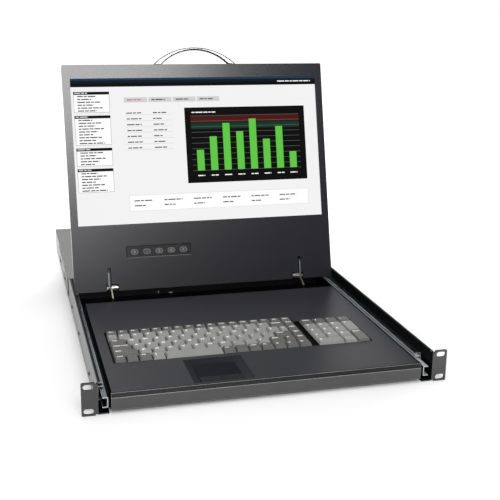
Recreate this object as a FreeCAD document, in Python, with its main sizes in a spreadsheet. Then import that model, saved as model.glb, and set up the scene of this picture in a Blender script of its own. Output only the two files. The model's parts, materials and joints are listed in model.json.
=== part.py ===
import FreeCAD, Part
import math
import os
import Sketcher

# Rack console drawer: a 1U tray on telescopic slides, with a keyboard, a touchpad and a
# fold-up screen.  Millimetres, +X to the right, +Y to the rear, +Z up.  The origin is the
# middle of the two rack ears' front faces.

SIZES = {
    # rack interface, one rack unit of a 19 inch rack
    "ear_span": 482.6,
    "ear_height": 43.6,
    "ear_plate": 2.0,
    "ear_corner": 2.0,
    "ear_relief": 2.0,
    "hole_span_x": 465.1,
    "hole_span_z": 31.75,
    "slot_length": 12.6,
    "slot_width": 7.0,
    # fixed rails and the cover that ties them
    "rail_span": 444.8,
    "rail_wall": 1.6,
    "rail_overrun": 21.0,
    "rail_lip": 4.8,
    "rail_foot": 15.0,
    "bend": 0.8,
    "cover_lead": 3.0,
    "cover_plate": 1.0,
    "cover_flange": 11.5,
    "flange_plate": 1.2,
    "tie_bar_gap": 2.0,
    "bracket_plate": 1.2,
    "bracket_rear_gap": 106.0,
    "bracket_length": 210.0,
    "bracket_low": -12.0,
    "bracket_high": 17.0,
    "bracket_slot_length": 70.0,
    "bracket_slot_width": 5.0,
    # telescopic slides: outer member on the rail, inner member on the drawer
    "slide_width": 12.2,
    "slide_level": -6.5,
    "inner_half": 6.8,
    "inner_plate": 1.3,
    "middle_plate": 1.0,
    "outer_plate": 1.0,
    "race_gap": 1.5,
    "ball_clearance": 0.02,
    "inner_flange": 7.2,
    "middle_setback": 2.4,
    "middle_flange": 6.9,
    "outer_flange": 10.0,
    "slide_shortfall": 35.0,
    "inner_start": 1.0,
    "middle_start": 30.0,
    "outer_start": 36.0,
    "cage_plate": 0.4,
    "cage_length": 410.0,
    "outer_cage_start": 175.0,
    "inner_cage_start": 165.0,
    "ball_rows": 2.0,
    "ball_inset": 18.5,
    "slide_screw_front": 59.0,
    "slide_screw_middle": 209.0,
    "slide_screw_bracket_gap": 75.0,
    # drawer tray and its deck
    "tray_plate": 1.2,
    "tray_floor": -16.8,
    "tray_wall_top": 2.0,
    "tray_wall_start": 8.0,
    "tray_depth": 735.0,
    "tray_screw_front": 120.0,
    "tray_screw_middle": 330.0,
    "tray_screw_rear_gap": 115.0,
    "lip_overhang": 1.4,
    "lip_edge": -1.2,
    "lip_slope": 3.9,
    "lip_top": 3.7,
    "lip_land": 1.1,
    "deck_gap": 1.2,
    "deck_side_gap": 3.8,
    "deck_top": 4.0,
    "deck_plate": 1.6,
    "deck_rear_gap": 11.0,
    "deck_corner": 2.5,
    # keyboard
    "key_pitch": 18.5,
    "row_pitch": 19.4,
    "function_row": 15.4,
    "keys_left": -188.0,
    "keys_front": 98.0,
    "pad_left": 97.0,
    "pad_pitch": 19.05,
    "key_gap": 1.0,
    "key_inset": 1.5,
    "key_base_gap": 0.4,
    "key_top": 7.2,
    "key_stem": 4.0,
    "key_travel": 2.0,
    "stem_clearance": 0.3,
    "key_margin": 2.2,
    "frame_top": 0.6,
    "frame_plate": 4.2,
    "frame_rim": 4.0,
    "frame_board_step": 1.0,
    "keyboard_post_inset": 13.0,
    "board_plate": 1.6,
    # touchpad
    "dish_left": -100.0,
    "dish_right": -21.0,
    "dish_front": 9.4,
    "dish_rear": 87.0,
    "dish_gap": 0.3,
    "dish_slope": 9.5,
    "dish_rim": 1.2,
    "dish_flange": 2.5,
    "dish_recess": 0.2,
    "dish_front_slope": 1.6,
    "dish_floor": 0.0,
    "dish_ledge": -2.2,
    "dish_base": -3.4,
    "ledge_width": 2.0,
    "touch_top": 0.5,
    "touch_front": 33.4,
    "touch_button_top": 1.0,
    "touch_button_plate": 2.0,
    "touch_gap": 0.3,
    # electronics housing at the rear of the drawer
    "housing_setback": 47.3,
    "housing_top": 19.2,
    "housing_plate": 1.2,
    "housing_gap": 1.6,
    "plate_joint": 0.4,
    "plate_margin": 16.0,
    "standoff": 6.0,
    "supply_left": 90.0,
    "supply_width": 96.0,
    "supply_rear_gap": 23.0,
    "supply_depth": 150.0,
    "supply_height": 27.0,
    "board_left": -170.0,
    "board_side_gap": 30.0,
    "board_front_gap": 42.0,
    "board_rear_gap": 35.0,
    "board_post_inset": 10.0,
    "inlet_x": 150.0,
    "inlet_width": 27.2,
    "inlet_height": 19.6,
    "inlet_depth": 22.0,
    "inlet_cavity_width": 22.6,
    "inlet_cavity_height": 15.4,
    "inlet_cavity_depth": 16.0,
    "inlet_flange": 2.0,
    "inlet_edge": 2.0,
    "inlet_chamfer": 4.0,
    "blade_pitch": 7.0,
    "blade_rise": 2.0,
    "blade_half_width": 1.0,
    "blade_half_height": 2.0,
    "blade_setback": 5.0,
    "socket_level": 2.0,
    "video_x": -60.0,
    "video_width": 17.0,
    "video_height": 8.6,
    "video_reach": 6.0,
    "video_depth": 8.0,
    "data_x": -20.0,
    "data_width": 12.0,
    "data_height": 10.8,
    "data_reach": 1.5,
    "data_depth": 14.0,
    "data_wall": 1.5,
    "data_mouth_depth": 9.0,
    # screen lid: its own frame lies on the front face, y into the lid, z up from its foot
    "lid_side_gap": 4.1,
    "lid_corner": 2.0,
    "lid_height": 363.2,
    "lid_depth": 12.8,
    "lid_lean": 15.2,
    "lid_foot_y": 380.7,
    "lid_foot_z": 10.0,
    "lid_plate": 1.2,
    "bezel_plate": 1.5,
    "window_side": 11.8,
    "window_low": 106.3,
    "window_above": 21.9,
    "panel_overlap": 3.0,
    "screen_plate": 1.2,
    "panel_depth": 7.0,
    "module_foot": 16.0,
    "module_foot_side": 55.0,
    "module_foot_end": 32.0,
    # on-screen display buttons
    "osd_left": -130.0,
    "osd_width": 105.0,
    "osd_low": 52.0,
    "osd_height": 17.6,
    "osd_sink": 0.7,
    "osd_plate": 1.2,
    "osd_rim": 3.0,
    "osd_pitch": 20.0,
    "osd_button_width": 13.0,
    "osd_button_height": 9.4,
    "osd_button_gap": 0.3,
    "osd_button_proud": 0.4,
    "osd_button_depth": 4.0,
    "osd_travel": 0.8,
    "osd_board_plate": 1.6,
    "osd_board_gap": 0.2,
    "osd_plate_gap": 0.15,
    "osd_post": 5.0,
    # lid hinges
    "hinge_x": 160.0,
    "pin_depth": 4.8,
    "pin_height": 5.0,
    "pin_radius": 2.5,
    "pin_clearance": 0.05,
    "eye_radius": 5.4,
    "arm_plate": 2.2,
    "hinge_gap": 0.3,
    "washer_stack": 8.0,
    "washer_radius": 5.0,
    "pin_head": 2.4,
    "pin_nut": 3.0,
    "slot_top": 37.0,
    "slot_side": 0.5,
    "notch_top": 11.0,
    "notch_side": 0.8,
    "cut_margin": 1.0,
    "arm_setback": 24.7,
    "arm_shoulder": 6.5,
    "arm_heel": -3.0,
    "arm_neck": 2.0,
    "arm_neck_rise": 5.0,
    "arm_foot": 14.0,
    "foot_width": 14.0,
    "leaf_top": 33.0,
    "leaf_front": 0.6,
    "leaf_foot": 0.5,
    "leaf_heel": 3.0,
    "leaf_chamfer": 5.0,
    "leaf_flange": 10.0,
    "leaf_flange_gap": 2.0,
    # carrying handle on the lid's top edge
    "handle_span": 140.0,
    "handle_foot": 14.0,
    "handle_rise": 28.2,
    "handle_inner_rise": 24.0,
    "handle_depth": 6.0,
    # screws
    "screw_head_radius": 3.2,
    "screw_head": 1.2,
    "standoff_radius": 3.2,
}

doc = FreeCAD.newDocument("ConsoleDrawer")
sheet = doc.addObject("Spreadsheet::Sheet", "Sizes")
for row, (alias, number) in enumerate(SIZES.items(), start=1):
    sheet.set(f"A{row}", alias)
    sheet.set(f"B{row}", str(number))
    sheet.setAlias(f"B{row}", alias)
doc.recompute()

LEFT, RIGHT = -1, 1
SIDES = ((LEFT, "left"), (RIGHT, "right"))
parts = {}


class Size:
    # A number together with the sheet expression that gives it.
    def __init__(self, value, text):
        self.value = value
        self.text = text

    def __add__(self, other):
        other = as_size(other)
        return Size(self.value + other.value, f"({self.text} + {other.text})")

    def __sub__(self, other):
        other = as_size(other)
        return Size(self.value - other.value, f"({self.text} - {other.text})")

    def __mul__(self, other):
        other = as_size(other)
        return Size(self.value * other.value, f"({self.text} * {other.text})")

    def __truediv__(self, other):
        other = as_size(other)
        return Size(self.value / other.value, f"({self.text} / {other.text})")

    def __neg__(self):
        return Size(-self.value, f"(-1 * {self.text})")

    def __radd__(self, other):
        return as_size(other) + self

    def __rsub__(self, other):
        return as_size(other) - self

    def __rmul__(self, other):
        return as_size(other) * self


def as_size(number):
    return number if isinstance(number, Size) else Size(float(number), f"({float(number):.6g})")


class SheetSizes:
    # Reads a sheet cell by its alias.
    def __getattr__(self, alias):
        return Size(SIZES[alias], f"Sizes.{alias}")


s = SheetSizes()


def bind(obj, path, size):
    obj.setExpression(path, as_size(size).text)


def place(obj, x, y, z):
    for axis, size in zip("xyz", (x, y, z)):
        bind(obj, f"Placement.Base.{axis}", size)


# ---- solids from Part primitives ----

def box(name, x, y, z):
    solid = doc.addObject("Part::Box", name)
    for side, (low, high) in zip(("Length", "Width", "Height"), (x, y, z)):
        bind(solid, side, as_size(high) - low)
    place(solid, x[0], y[0], z[0])
    return solid


TURNS = {
    "x": FreeCAD.Rotation(FreeCAD.Vector(0, 1, 0), 90),
    "y": FreeCAD.Rotation(FreeCAD.Vector(1, 0, 0), -90),
    "z": FreeCAD.Rotation(),
}


def cylinder(name, axis, start, length, radius):
    # start is the centre of the end that the axis points away from
    solid = doc.addObject("Part::Cylinder", name)
    solid.Placement = FreeCAD.Placement(FreeCAD.Vector(), TURNS[axis])
    bind(solid, "Radius", radius)
    bind(solid, "Height", length)
    place(solid, *start)
    return solid


def fuse(name, solids):
    joined = doc.addObject("Part::MultiFuse", name)
    joined.Shapes = solids
    return joined


def group(name, solids):
    together = doc.addObject("Part::Compound", name)
    together.Links = solids
    return together


def cut(name, base, tools):
    result = doc.addObject("Part::Cut", name)
    result.Base = base
    result.Tool = tools[0] if len(tools) == 1 else group(name + "_tools", tools)
    return result


# ---- solids from PartDesign sketches ----

def new_body(name):
    return doc.addObject("PartDesign::Body", name)


def new_sketch(body, name, plane, offset):
    origin_plane = [f for f in body.Origin.OriginFeatures if f.Role == plane + "_Plane"][0]
    sketch = body.newObject("Sketcher::SketchObject", name)
    sketch.AttachmentSupport = [(origin_plane, "")]
    sketch.MapMode = "FlatFace"
    bind(sketch, "AttachmentOffset.Base.z", offset)
    return sketch


def fix(sketch, kind, geometry, point, size):
    # Holds one coordinate of a point, or a radius, at a sheet expression.
    size = as_size(size)
    if kind == "Radius":
        constraint = Sketcher.Constraint(kind, geometry, size.value)
    else:
        constraint = Sketcher.Constraint(kind, -1, 1, geometry, point, size.value)
    index = sketch.addConstraint(constraint)
    label = f"c{index}"
    sketch.renameConstraint(index, label)
    sketch.setExpression("Constraints." + label, size.text)


def unit(a, b):
    length = math.hypot(b[0] - a[0], b[1] - a[1])
    return (b[0] - a[0]) / length, (b[1] - a[1]) / length


def draw_loop(sketch, corners):
    # One closed loop.  A corner is (x, y) or (x, y, radius); a rounded corner joins a
    # level and an upright edge.
    places = [(as_size(c[0]), as_size(c[1])) for c in corners]
    radii = [as_size(c[2]) if len(c) > 2 else None for c in corners]
    points = [(x.value, y.value) for x, y in places]
    count = len(points)
    before, after = {}, {}
    for i in range(count):
        ahead = unit(points[i], points[(i + 1) % count])
        behind = unit(points[i - 1], points[i])
        trim = radii[i].value if radii[i] else 0.0
        before[i] = (points[i][0] - behind[0] * trim, points[i][1] - behind[1] * trim)
        after[i] = (points[i][0] + ahead[0] * trim, points[i][1] + ahead[1] * trim)
    first = sketch.GeometryCount
    for i in range(count):
        start, end = after[i], before[(i + 1) % count]
        sketch.addGeometry(Part.LineSegment(FreeCAD.Vector(*start, 0), FreeCAD.Vector(*end, 0)))
    level = [points[i][1] == points[(i + 1) % count][1] for i in range(count)]
    upright = [points[i][0] == points[(i + 1) % count][0] for i in range(count)]
    for i in range(count):
        if level[i]:
            sketch.addConstraint(Sketcher.Constraint("Horizontal", first + i))
            fix(sketch, "DistanceY", first + i, 1, places[i][1])
        elif upright[i]:
            sketch.addConstraint(Sketcher.Constraint("Vertical", first + i))
            fix(sketch, "DistanceX", first + i, 1, places[i][0])
    for i in range(count):
        behind, ahead = first + (i - 1) % count, first + i
        if radii[i]:
            join_round(sketch, behind, ahead, before[i], after[i], points[i], radii[i])
            continue
        sketch.addConstraint(Sketcher.Constraint("Coincident", behind, 2, ahead, 1))
        if not level[i - 1] and not level[i]:
            fix(sketch, "DistanceY", ahead, 1, places[i][1])
        if not upright[i - 1] and not upright[i]:
            fix(sketch, "DistanceX", ahead, 1, places[i][0])


def join_round(sketch, behind, ahead, start, end, corner, radius):
    centre = FreeCAD.Vector(start[0] + end[0] - corner[0], start[1] + end[1] - corner[1], 0)
    angles = [math.atan2(p[1] - centre.y, p[0] - centre.x) for p in (start, end)]
    left_turn = math.sin(angles[1] - angles[0]) > 0
    if not left_turn:
        angles.reverse()
    circle = Part.Circle(centre, FreeCAD.Vector(0, 0, 1), radius.value)
    arc = sketch.addGeometry(Part.ArcOfCircle(circle, angles[0], angles[1]))
    arc_in, arc_out = (1, 2) if left_turn else (2, 1)
    sketch.addConstraint(Sketcher.Constraint("Tangent", behind, 2, arc, arc_in))
    sketch.addConstraint(Sketcher.Constraint("Tangent", arc, arc_out, ahead, 1))
    fix(sketch, "Radius", arc, None, radius)


def draw_circle(sketch, x, y, radius):
    x, y, radius = as_size(x), as_size(y), as_size(radius)
    centre = FreeCAD.Vector(x.value, y.value, 0)
    ring = sketch.addGeometry(Part.Circle(centre, FreeCAD.Vector(0, 0, 1), radius.value))
    fix(sketch, "DistanceX", ring, 3, x)
    fix(sketch, "DistanceY", ring, 3, y)
    fix(sketch, "Radius", ring, None, radius)


def draw_slot(sketch, x, y, length, width):
    # A round-ended slot that lies along the sketch's x axis.
    x, y, length, width = as_size(x), as_size(y), as_size(length), as_size(width)
    radius = width / 2
    reach = (length - width) / 2
    ends = (x + reach, x - reach)
    up = FreeCAD.Vector(0, 0, 1)
    first = sketch.GeometryCount
    for sign, (start, end) in ((-1, (1, 0)), (1, (0, 1))):
        edge = y.value + sign * radius.value
        sketch.addGeometry(Part.LineSegment(
            FreeCAD.Vector(ends[start].value, edge, 0), FreeCAD.Vector(ends[end].value, edge, 0)))
    for end, turn in zip(ends, (-math.pi / 2, math.pi / 2)):
        circle = Part.Circle(FreeCAD.Vector(end.value, y.value, 0), up, radius.value)
        sketch.addGeometry(Part.ArcOfCircle(circle, turn, turn + math.pi))
    low, high, right, left = range(first, first + 4)
    for one, other in ((low, right), (right, high), (high, left), (left, low)):
        sketch.addConstraint(Sketcher.Constraint("Tangent", one, 2, other, 1))
    for arc, end in zip((right, left), ends):
        fix(sketch, "DistanceX", arc, 3, end)
        fix(sketch, "DistanceY", arc, 3, y)
        fix(sketch, "Radius", arc, None, radius)


def rectangle(x, y, radius=None):
    corners = [(x[0], y[0]), (x[1], y[0]), (x[1], y[1]), (x[0], y[1])]
    return corners if radius is None else [corner + (radius,) for corner in corners]


def add_pad(body, name, plane, span, loops, slots=(), circles=()):
    # span is (low, high) along the plane's own axis: Z, Y or X
    low, high = as_size(span[0]), as_size(span[1])
    sketch = new_sketch(body, name + "_sketch", plane, -low if plane == "XZ" else low)
    for corners in loops:
        draw_loop(sketch, corners)
    for slot in slots:
        draw_slot(sketch, *slot)
    for circle in circles:
        draw_circle(sketch, *circle)
    pad = body.newObject("PartDesign::Pad", name)
    pad.Profile = sketch
    pad.Reversed = plane == "XZ"
    bind(pad, "Length", high - low)
    body.Tip = pad
    return pad


def add_pocket(body, name, plane, span, loops=(), slots=(), circles=()):
    low, high = as_size(span[0]), as_size(span[1])
    sketch = new_sketch(body, name + "_sketch", plane, -low if plane == "XZ" else high)
    for corners in loops:
        draw_loop(sketch, corners)
    for slot in slots:
        draw_slot(sketch, *slot)
    for circle in circles:
        draw_circle(sketch, *circle)
    pocket = body.newObject("PartDesign::Pocket", name)
    pocket.Profile = sketch
    bind(pocket, "Length", high - low)
    body.Tip = pocket
    return pocket


def padded(name, plane, span, loops, slots=(), circles=()):
    body = new_body(name)
    add_pad(body, name + "_pad", plane, span, loops, slots, circles)
    return body


def keep(name, obj):
    obj.Label = name
    parts[name] = obj
    return obj


def prism(name, axis, start, length, radius):
    # a hexagonal bar, placed as a cylinder is
    solid = doc.addObject("Part::Prism", name)
    solid.Polygon = 6
    solid.Placement = FreeCAD.Placement(FreeCAD.Vector(), TURNS[axis])
    bind(solid, "Circumradius", radius)
    bind(solid, "Height", length)
    place(solid, *start)
    return solid


def screw_head(name, axis, seat, out):
    # seat is the middle of the face that the head rests on; the head stands on the out side
    back = s.screw_head if out < 0 else 0
    start = [size - back if letter == axis else size for letter, size in zip("xyz", seat)]
    return prism(name, axis, start, s.screw_head, s.screw_head_radius)


# ---- shared levels and faces ----

rail_out = s.rail_span / 2
rail_in = rail_out - s.rail_wall
tray_side = rail_in - s.slide_width
panel_low = -s.ear_height / 2
panel_high = s.ear_height / 2
floor_top = s.tray_floor + s.tray_plate
bend_out = s.bend + s.rail_wall
middle_half = s.inner_half + s.race_gap + s.middle_plate
outer_half = middle_half + s.race_gap + s.outer_plate
lip_rear = s.lip_slope + s.lip_land
deck_front = lip_rear + s.deck_gap
deck_under = s.deck_top - s.deck_plate
bracket_level = (s.bracket_low + s.bracket_high) / 2
rail_depth = s.tray_depth + s.rail_overrun
slide_length = s.tray_depth - s.slide_shortfall
bracket_rear = rail_depth - s.bracket_rear_gap
bracket_start = bracket_rear - s.bracket_length
slide_screws = (s.outer_start + s.slide_screw_front, s.outer_start + s.slide_screw_middle,
                bracket_start - s.slide_screw_bracket_gap)
tray_screws = (s.tray_screw_front, s.tray_screw_middle, s.tray_depth - s.tray_screw_rear_gap)
tray_inside = tray_side - s.tray_plate
deck_half = tray_inside - s.deck_side_gap
lip_half = deck_half + s.lip_overhang
arm_front = s.lid_foot_y - s.arm_setback
deck_rear = arm_front - s.deck_rear_gap
housing_start = s.lid_foot_y + s.housing_setback
cover_start = housing_start - s.cover_lead
panel_front = s.tray_depth - s.tray_plate


def across(side, low, high):
    # A span measured outwards from the middle, given in rising order for either side.
    low, high = as_size(low), as_size(high)
    return (low, high) if side > 0 else (-high, -low)


# ---- fixed rails ----

def rail(side, word):
    low, high, wall = panel_low, panel_high, s.rail_wall
    foot, lip = rail_out - s.rail_foot, rail_out - s.rail_lip
    front_section = [
        (foot, low), (rail_out, low, bend_out), (rail_out, high, bend_out), (lip, high),
        (lip, high - wall), (rail_in, high - wall, s.bend), (rail_in, low + wall, s.bend),
        (foot, low + wall),
    ]
    seat = high - s.cover_plate
    rear_section = [
        (foot, low), (rail_out, low, bend_out), (rail_out, seat), (rail_in, seat),
        (rail_in, low + wall, s.bend), (foot, low + wall),
    ]
    relief_x, relief_z = rail_out + s.ear_relief, high - s.ear_relief
    tip = s.ear_span / 2
    ear = [
        (rail_in, -relief_z), (relief_x, -relief_z), (relief_x, low), (tip, low, s.ear_corner),
        (tip, high, s.ear_corner), (relief_x, high), (relief_x, relief_z), (rail_in, relief_z),
    ]
    body = new_body(f"{word}_rail_body")
    front_loop, rear_loop, ear_loop = (
        [(side * as_size(c[0]),) + tuple(c[1:]) for c in loop] for loop in (front_section, rear_section, ear))
    add_pad(body, f"{word}_rail_front", "XZ", (s.ear_plate, cover_start), [front_loop])
    add_pad(body, f"{word}_rail_rear", "XZ", (cover_start, rail_depth), [rear_loop])
    slots = [(side * s.hole_span_x / 2, sign * s.hole_span_z / 2, s.slot_length, s.slot_width)
             for sign in (-1, 1)]
    add_pad(body, f"{word}_ear", "XZ", (0, s.ear_plate), [ear_loop], slots)
    keep(f"{word}_rail", body)


def bracket_screw_places():
    quarter = s.bracket_length / 4
    return bracket_start + quarter, bracket_rear - quarter


def rear_bracket(side, word):
    # a flat bar that slides along the rail's outer face to meet the rack's rear post
    x = across(side, rail_out, rail_out + s.bracket_plate)
    slots = [
        (y, bracket_level, s.bracket_slot_length, s.bracket_slot_width) for y in bracket_screw_places()
    ]
    outline = rectangle((bracket_start, bracket_rear), (s.bracket_low, s.bracket_high))
    keep(f"rear_bracket_{word}", padded(f"{word}_bracket_body", "YZ", x, [outline], slots))


def rear_cover():
    top = panel_high
    under = top - s.cover_plate
    body = new_body("rear_cover_body")
    flange = s.flange_plate
    add_pad(body, "cover_top", "XZ", (cover_start, rail_depth), [[
        (-rail_out, under), (rail_out, under), (rail_out, top), (-rail_out, top)]])
    for side, word in SIDES:
        x = across(side, rail_in - flange, rail_in)
        add_pad(body, f"cover_side_{word}", "XZ", (cover_start, rail_depth),
                [rectangle(x, (under - s.cover_flange, under))])
    add_pad(body, "cover_rear", "XZ", (rail_depth - flange, rail_depth),
            [rectangle((-rail_in + flange, rail_in - flange), (under - s.cover_flange, under))])
    keep("rear_cover", body)


def rear_tie_bar():
    # joins the two rails' feet under the drawer
    reach = rail_in - s.bend - s.rail_wall
    low = panel_low + s.rail_wall
    keep("rear_tie_bar", padded(
        "tie_bar_body", "XY", (low, low + s.flange_plate),
        [rectangle((-reach, reach), (s.outer_start + slide_length + s.tie_bar_gap, rail_depth))]))


def chassis_screws():
    heads = []
    for side, word in SIDES:
        for i, y in enumerate(slide_screws):
            seat = (side * rail_out, y, s.slide_level)
            heads.append(screw_head(f"{word}_slide_screw_{i}", "x", seat, side))
        for i, y in enumerate(bracket_screw_places()):
            seat = (side * (rail_out + s.bracket_plate), y, bracket_level)
            heads.append(screw_head(f"{word}_bracket_screw_{i}", "x", seat, side))
    keep("chassis_screws", group("chassis_screw_group", heads))


# ---- telescopic slides ----

def channel(web_out, web_plate, tip, half, plate):
    # A C section: web on one side, two flanges that reach to tip.
    low, high = s.slide_level - half, s.slide_level + half
    web_in = web_out - web_plate if as_size(tip).value < as_size(web_out).value else web_out + web_plate
    radius = plate
    return [
        (tip, low), (web_out, low, radius), (web_out, high, radius), (tip, high),
        (tip, high - plate), (web_in, high - plate), (web_in, low + plate), (tip, low + plate),
    ]


middle_web = rail_in - s.middle_setback
member_sections = {
    "outer": channel(rail_in, s.outer_plate, rail_in - s.outer_flange, outer_half, s.outer_plate),
    "middle": channel(middle_web, s.middle_plate, middle_web - s.middle_flange, middle_half, s.middle_plate),
    "inner": channel(tray_side, s.inner_plate, tray_side + s.inner_flange, s.inner_half, s.inner_plate),
}


def slide_member(side, word, kind, start):
    section = [(side * as_size(c[0]),) + tuple(c[1:]) for c in member_sections[kind]]
    body = padded(f"{word}_{kind}_member", "XZ", (start, start + slide_length), [section])
    keep(f"slide_{kind}_{word}", body)


def ball_cage(side, word, kind, start, race_low, web_in, web_gap, tip):
    # A thin strip bent round the member it rolls on, with bearing rollers in its two flanges.
    # race_low is the race's half height, web_in the member's web face that the strip faces.
    radius = s.race_gap / 2 - s.ball_clearance
    centre = race_low + s.race_gap / 2
    plate = s.cage_plate
    half = centre + plate / 2
    strip_web = web_in + web_gap
    low, high = s.slide_level - half, s.slide_level + half
    section = [
        (tip, low), (strip_web, low), (strip_web, high), (tip, high),
        (tip, high - plate), (strip_web - plate, high - plate),
        (strip_web - plate, low + plate), (tip, low + plate),
    ]
    section = [(side * as_size(x), z) for x, z in section]
    body = padded(f"{word}_{kind}_strip", "XZ", (start, start + s.cage_length), [section])
    windows, rollers = [], []
    roller_x = across(side, tip + s.race_gap / 2, tip + s.race_gap * 1.5)
    gap = s.ball_clearance * 4
    places = int(s.ball_rows.value)
    step = (s.cage_length - s.ball_inset * 2) / (places - 1)
    for i in range(places):
        y = start + s.ball_inset + step * i
        for sign, level_word in ((-1, "low"), (1, "high")):
            z = s.slide_level + sign * centre
            name = f"{word}_{kind}_{level_word}_{i}"
            window_x = (roller_x[0] - gap, roller_x[1] + gap)
            windows.append(box(name + "_window", window_x, (y - radius - gap, y + radius + gap),
                               (z - plate, z + plate)))
            rollers.append(cylinder(name + "_ball", "x", (roller_x[0], y, z), s.race_gap, radius))
    strip = cut(f"{word}_{kind}_cage_strip", body, windows)
    keep(f"ball_cage_{kind}_{word}", group(f"{word}_{kind}_cage", [strip] + rollers))


def slides():
    for side, word in SIDES:
        slide_member(side, word, "outer", s.outer_start)
        slide_member(side, word, "middle", s.middle_start)
        slide_member(side, word, "inner", s.inner_start)
        outer_gap = (s.middle_setback - s.outer_plate + s.cage_plate) / 2
        ball_cage(side, word, "outer", s.outer_cage_start, middle_half, middle_web, outer_gap,
                  rail_in - s.outer_flange + s.outer_plate)
        inner_tip = tray_side + s.inner_flange
        inner_gap = (middle_web - s.middle_plate - inner_tip + s.cage_plate) / 2
        ball_cage(side, word, "inner", s.inner_cage_start, s.inner_half, inner_tip, inner_gap,
                  middle_web - s.middle_flange + s.outer_plate)


# ---- drawer tray, front lip and deck ----

def drawer_tray():
    low, top, plate = s.tray_floor, s.tray_wall_top, s.tray_plate
    inner = tray_inside
    body = new_body("tray_body")
    section = [
        (-tray_side, low, s.bend + plate), (tray_side, low, s.bend + plate), (tray_side, top), (inner, top),
        (inner, floor_top, s.bend), (-inner, floor_top, s.bend), (-inner, top), (-tray_side, top),
    ]
    add_pad(body, "tray_pan", "XZ", (s.tray_wall_start, s.tray_depth), [section])
    front = [
        (s.tray_wall_start, low), (plate, low), (plate, s.lip_edge - plate), (plate * 2, s.lip_edge - plate),
        (plate * 2, floor_top), (s.tray_wall_start, floor_top),
    ]
    add_pad(body, "tray_front", "YZ", (-lip_half, lip_half), [front])
    keep("drawer_tray", body)


def front_lip():
    plate = s.tray_plate
    low, edge, top = s.tray_floor, s.lip_edge, s.lip_top
    profile = [
        (0, low), (0, edge), (s.lip_slope, top), (lip_rear, top), (lip_rear, top - plate),
        (s.lip_slope + plate / 2, top - plate), (plate, edge - plate / 2), (plate, low),
    ]
    keep("front_lip", padded("front_lip_body", "YZ", (-lip_half, lip_half), [profile]))


keys_right = s.keys_left + s.key_pitch * 14.84
pad_right = s.pad_left + s.pad_pitch * 4
digits_rear = s.keys_front + s.row_pitch * 5
keys_rear = digits_rear + s.function_row


def keyboard_outline(grow):
    # The stepped opening round the main block and the shorter number pad.
    margin = s.key_margin + grow
    left, right = s.keys_left - margin, pad_right + margin
    step = keys_right + margin
    front, pad_rear, rear = s.keys_front - margin, digits_rear + margin, keys_rear + margin
    return [(left, front), (right, front), (right, pad_rear), (step, pad_rear), (step, rear), (left, rear)]


def deck_cover():
    side, plate = deck_half, s.deck_plate
    body = new_body("deck_body")
    add_pad(body, "deck_block", "XY", (floor_top, s.deck_top),
            [rectangle((-side, side), (deck_front, deck_rear), s.deck_corner)])
    inside = rectangle((-side + plate, side - plate), (deck_front + plate, deck_rear - plate))
    add_pocket(body, "deck_hollow", "XY", (floor_top, deck_under), [inside])
    add_pocket(body, "keyboard_opening", "XY", (deck_under, s.deck_top), [keyboard_outline(0)])
    dish = rectangle((s.dish_left, s.dish_right), (s.dish_front, s.dish_rear))
    add_pocket(body, "touchpad_opening", "XY", (deck_under, s.deck_top), [dish])
    keep("deck_cover", body)


# ---- keyboard ----

# One row: how wide each key is, in key pitches, from the left.  The last key of each row
# from the digits down belongs to the navigation column, with an arrow key beside it below.
nav = 0.86
rows = {
    "function": [14.84 / 17] * 17,
    "digit": [0.8] + [1.0] * 12 + [1.18, nav],
    "tab": [1.325] + [1.0] * 12 + [0.655, nav],
    "caps": [1.595] + [1.0] * 11 + [1.385, nav],
    "shift": [1.945] + [1.0] * 10 + [1.175, nav, nav],
    "space": [0.87, 0.9, 1.0, 0.95, 4.28] + [0.977] * 7,
}
stems = []
key_base = s.frame_top + s.key_travel + s.key_base_gap
frame_base = s.frame_top - s.frame_plate
stem_low = frame_base + s.key_travel + s.stem_clearance


def keycap(name, x, y):
    # A tapered cap on a square stem that runs in the keyboard frame.
    gap, inset, height = s.key_gap / 2, s.key_inset, s.key_top - key_base
    width, depth = x[1] - x[0] - s.key_gap, y[1] - y[0] - s.key_gap
    cap = doc.addObject("Part::Wedge", name + "_cap")
    cap.Placement = FreeCAD.Placement(FreeCAD.Vector(), FreeCAD.Rotation(FreeCAD.Vector(1, 0, 0), 90))
    for path, size in (
        ("Xmin", 0), ("Xmax", width), ("X2min", inset), ("X2max", width - inset),
        ("Ymin", 0), ("Ymax", height),
        ("Zmin", -depth), ("Zmax", 0), ("Z2min", inset - depth), ("Z2max", -inset),
    ):
        bind(cap, path, size)
    place(cap, x[0] + gap, y[0] + gap, key_base)
    middle_x, middle_y, half = (x[0] + x[1]) / 2, (y[0] + y[1]) / 2, s.key_stem / 2
    stem = box(name + "_stem", (middle_x - half, middle_x + half), (middle_y - half, middle_y + half),
               (stem_low, key_base))
    stems.append((middle_x, middle_y))
    return fuse(name, [cap, stem])


def key_row(row_name, front, depth):
    # Returns the row's caps from left to right.
    caps = []
    left = s.keys_left
    for i, width in enumerate(rows[row_name]):
        right = left + s.key_pitch * width
        caps.append(keycap(f"{row_name}_key_{i}", (left, right), (front, front + depth)))
        left = right
    return caps


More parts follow.
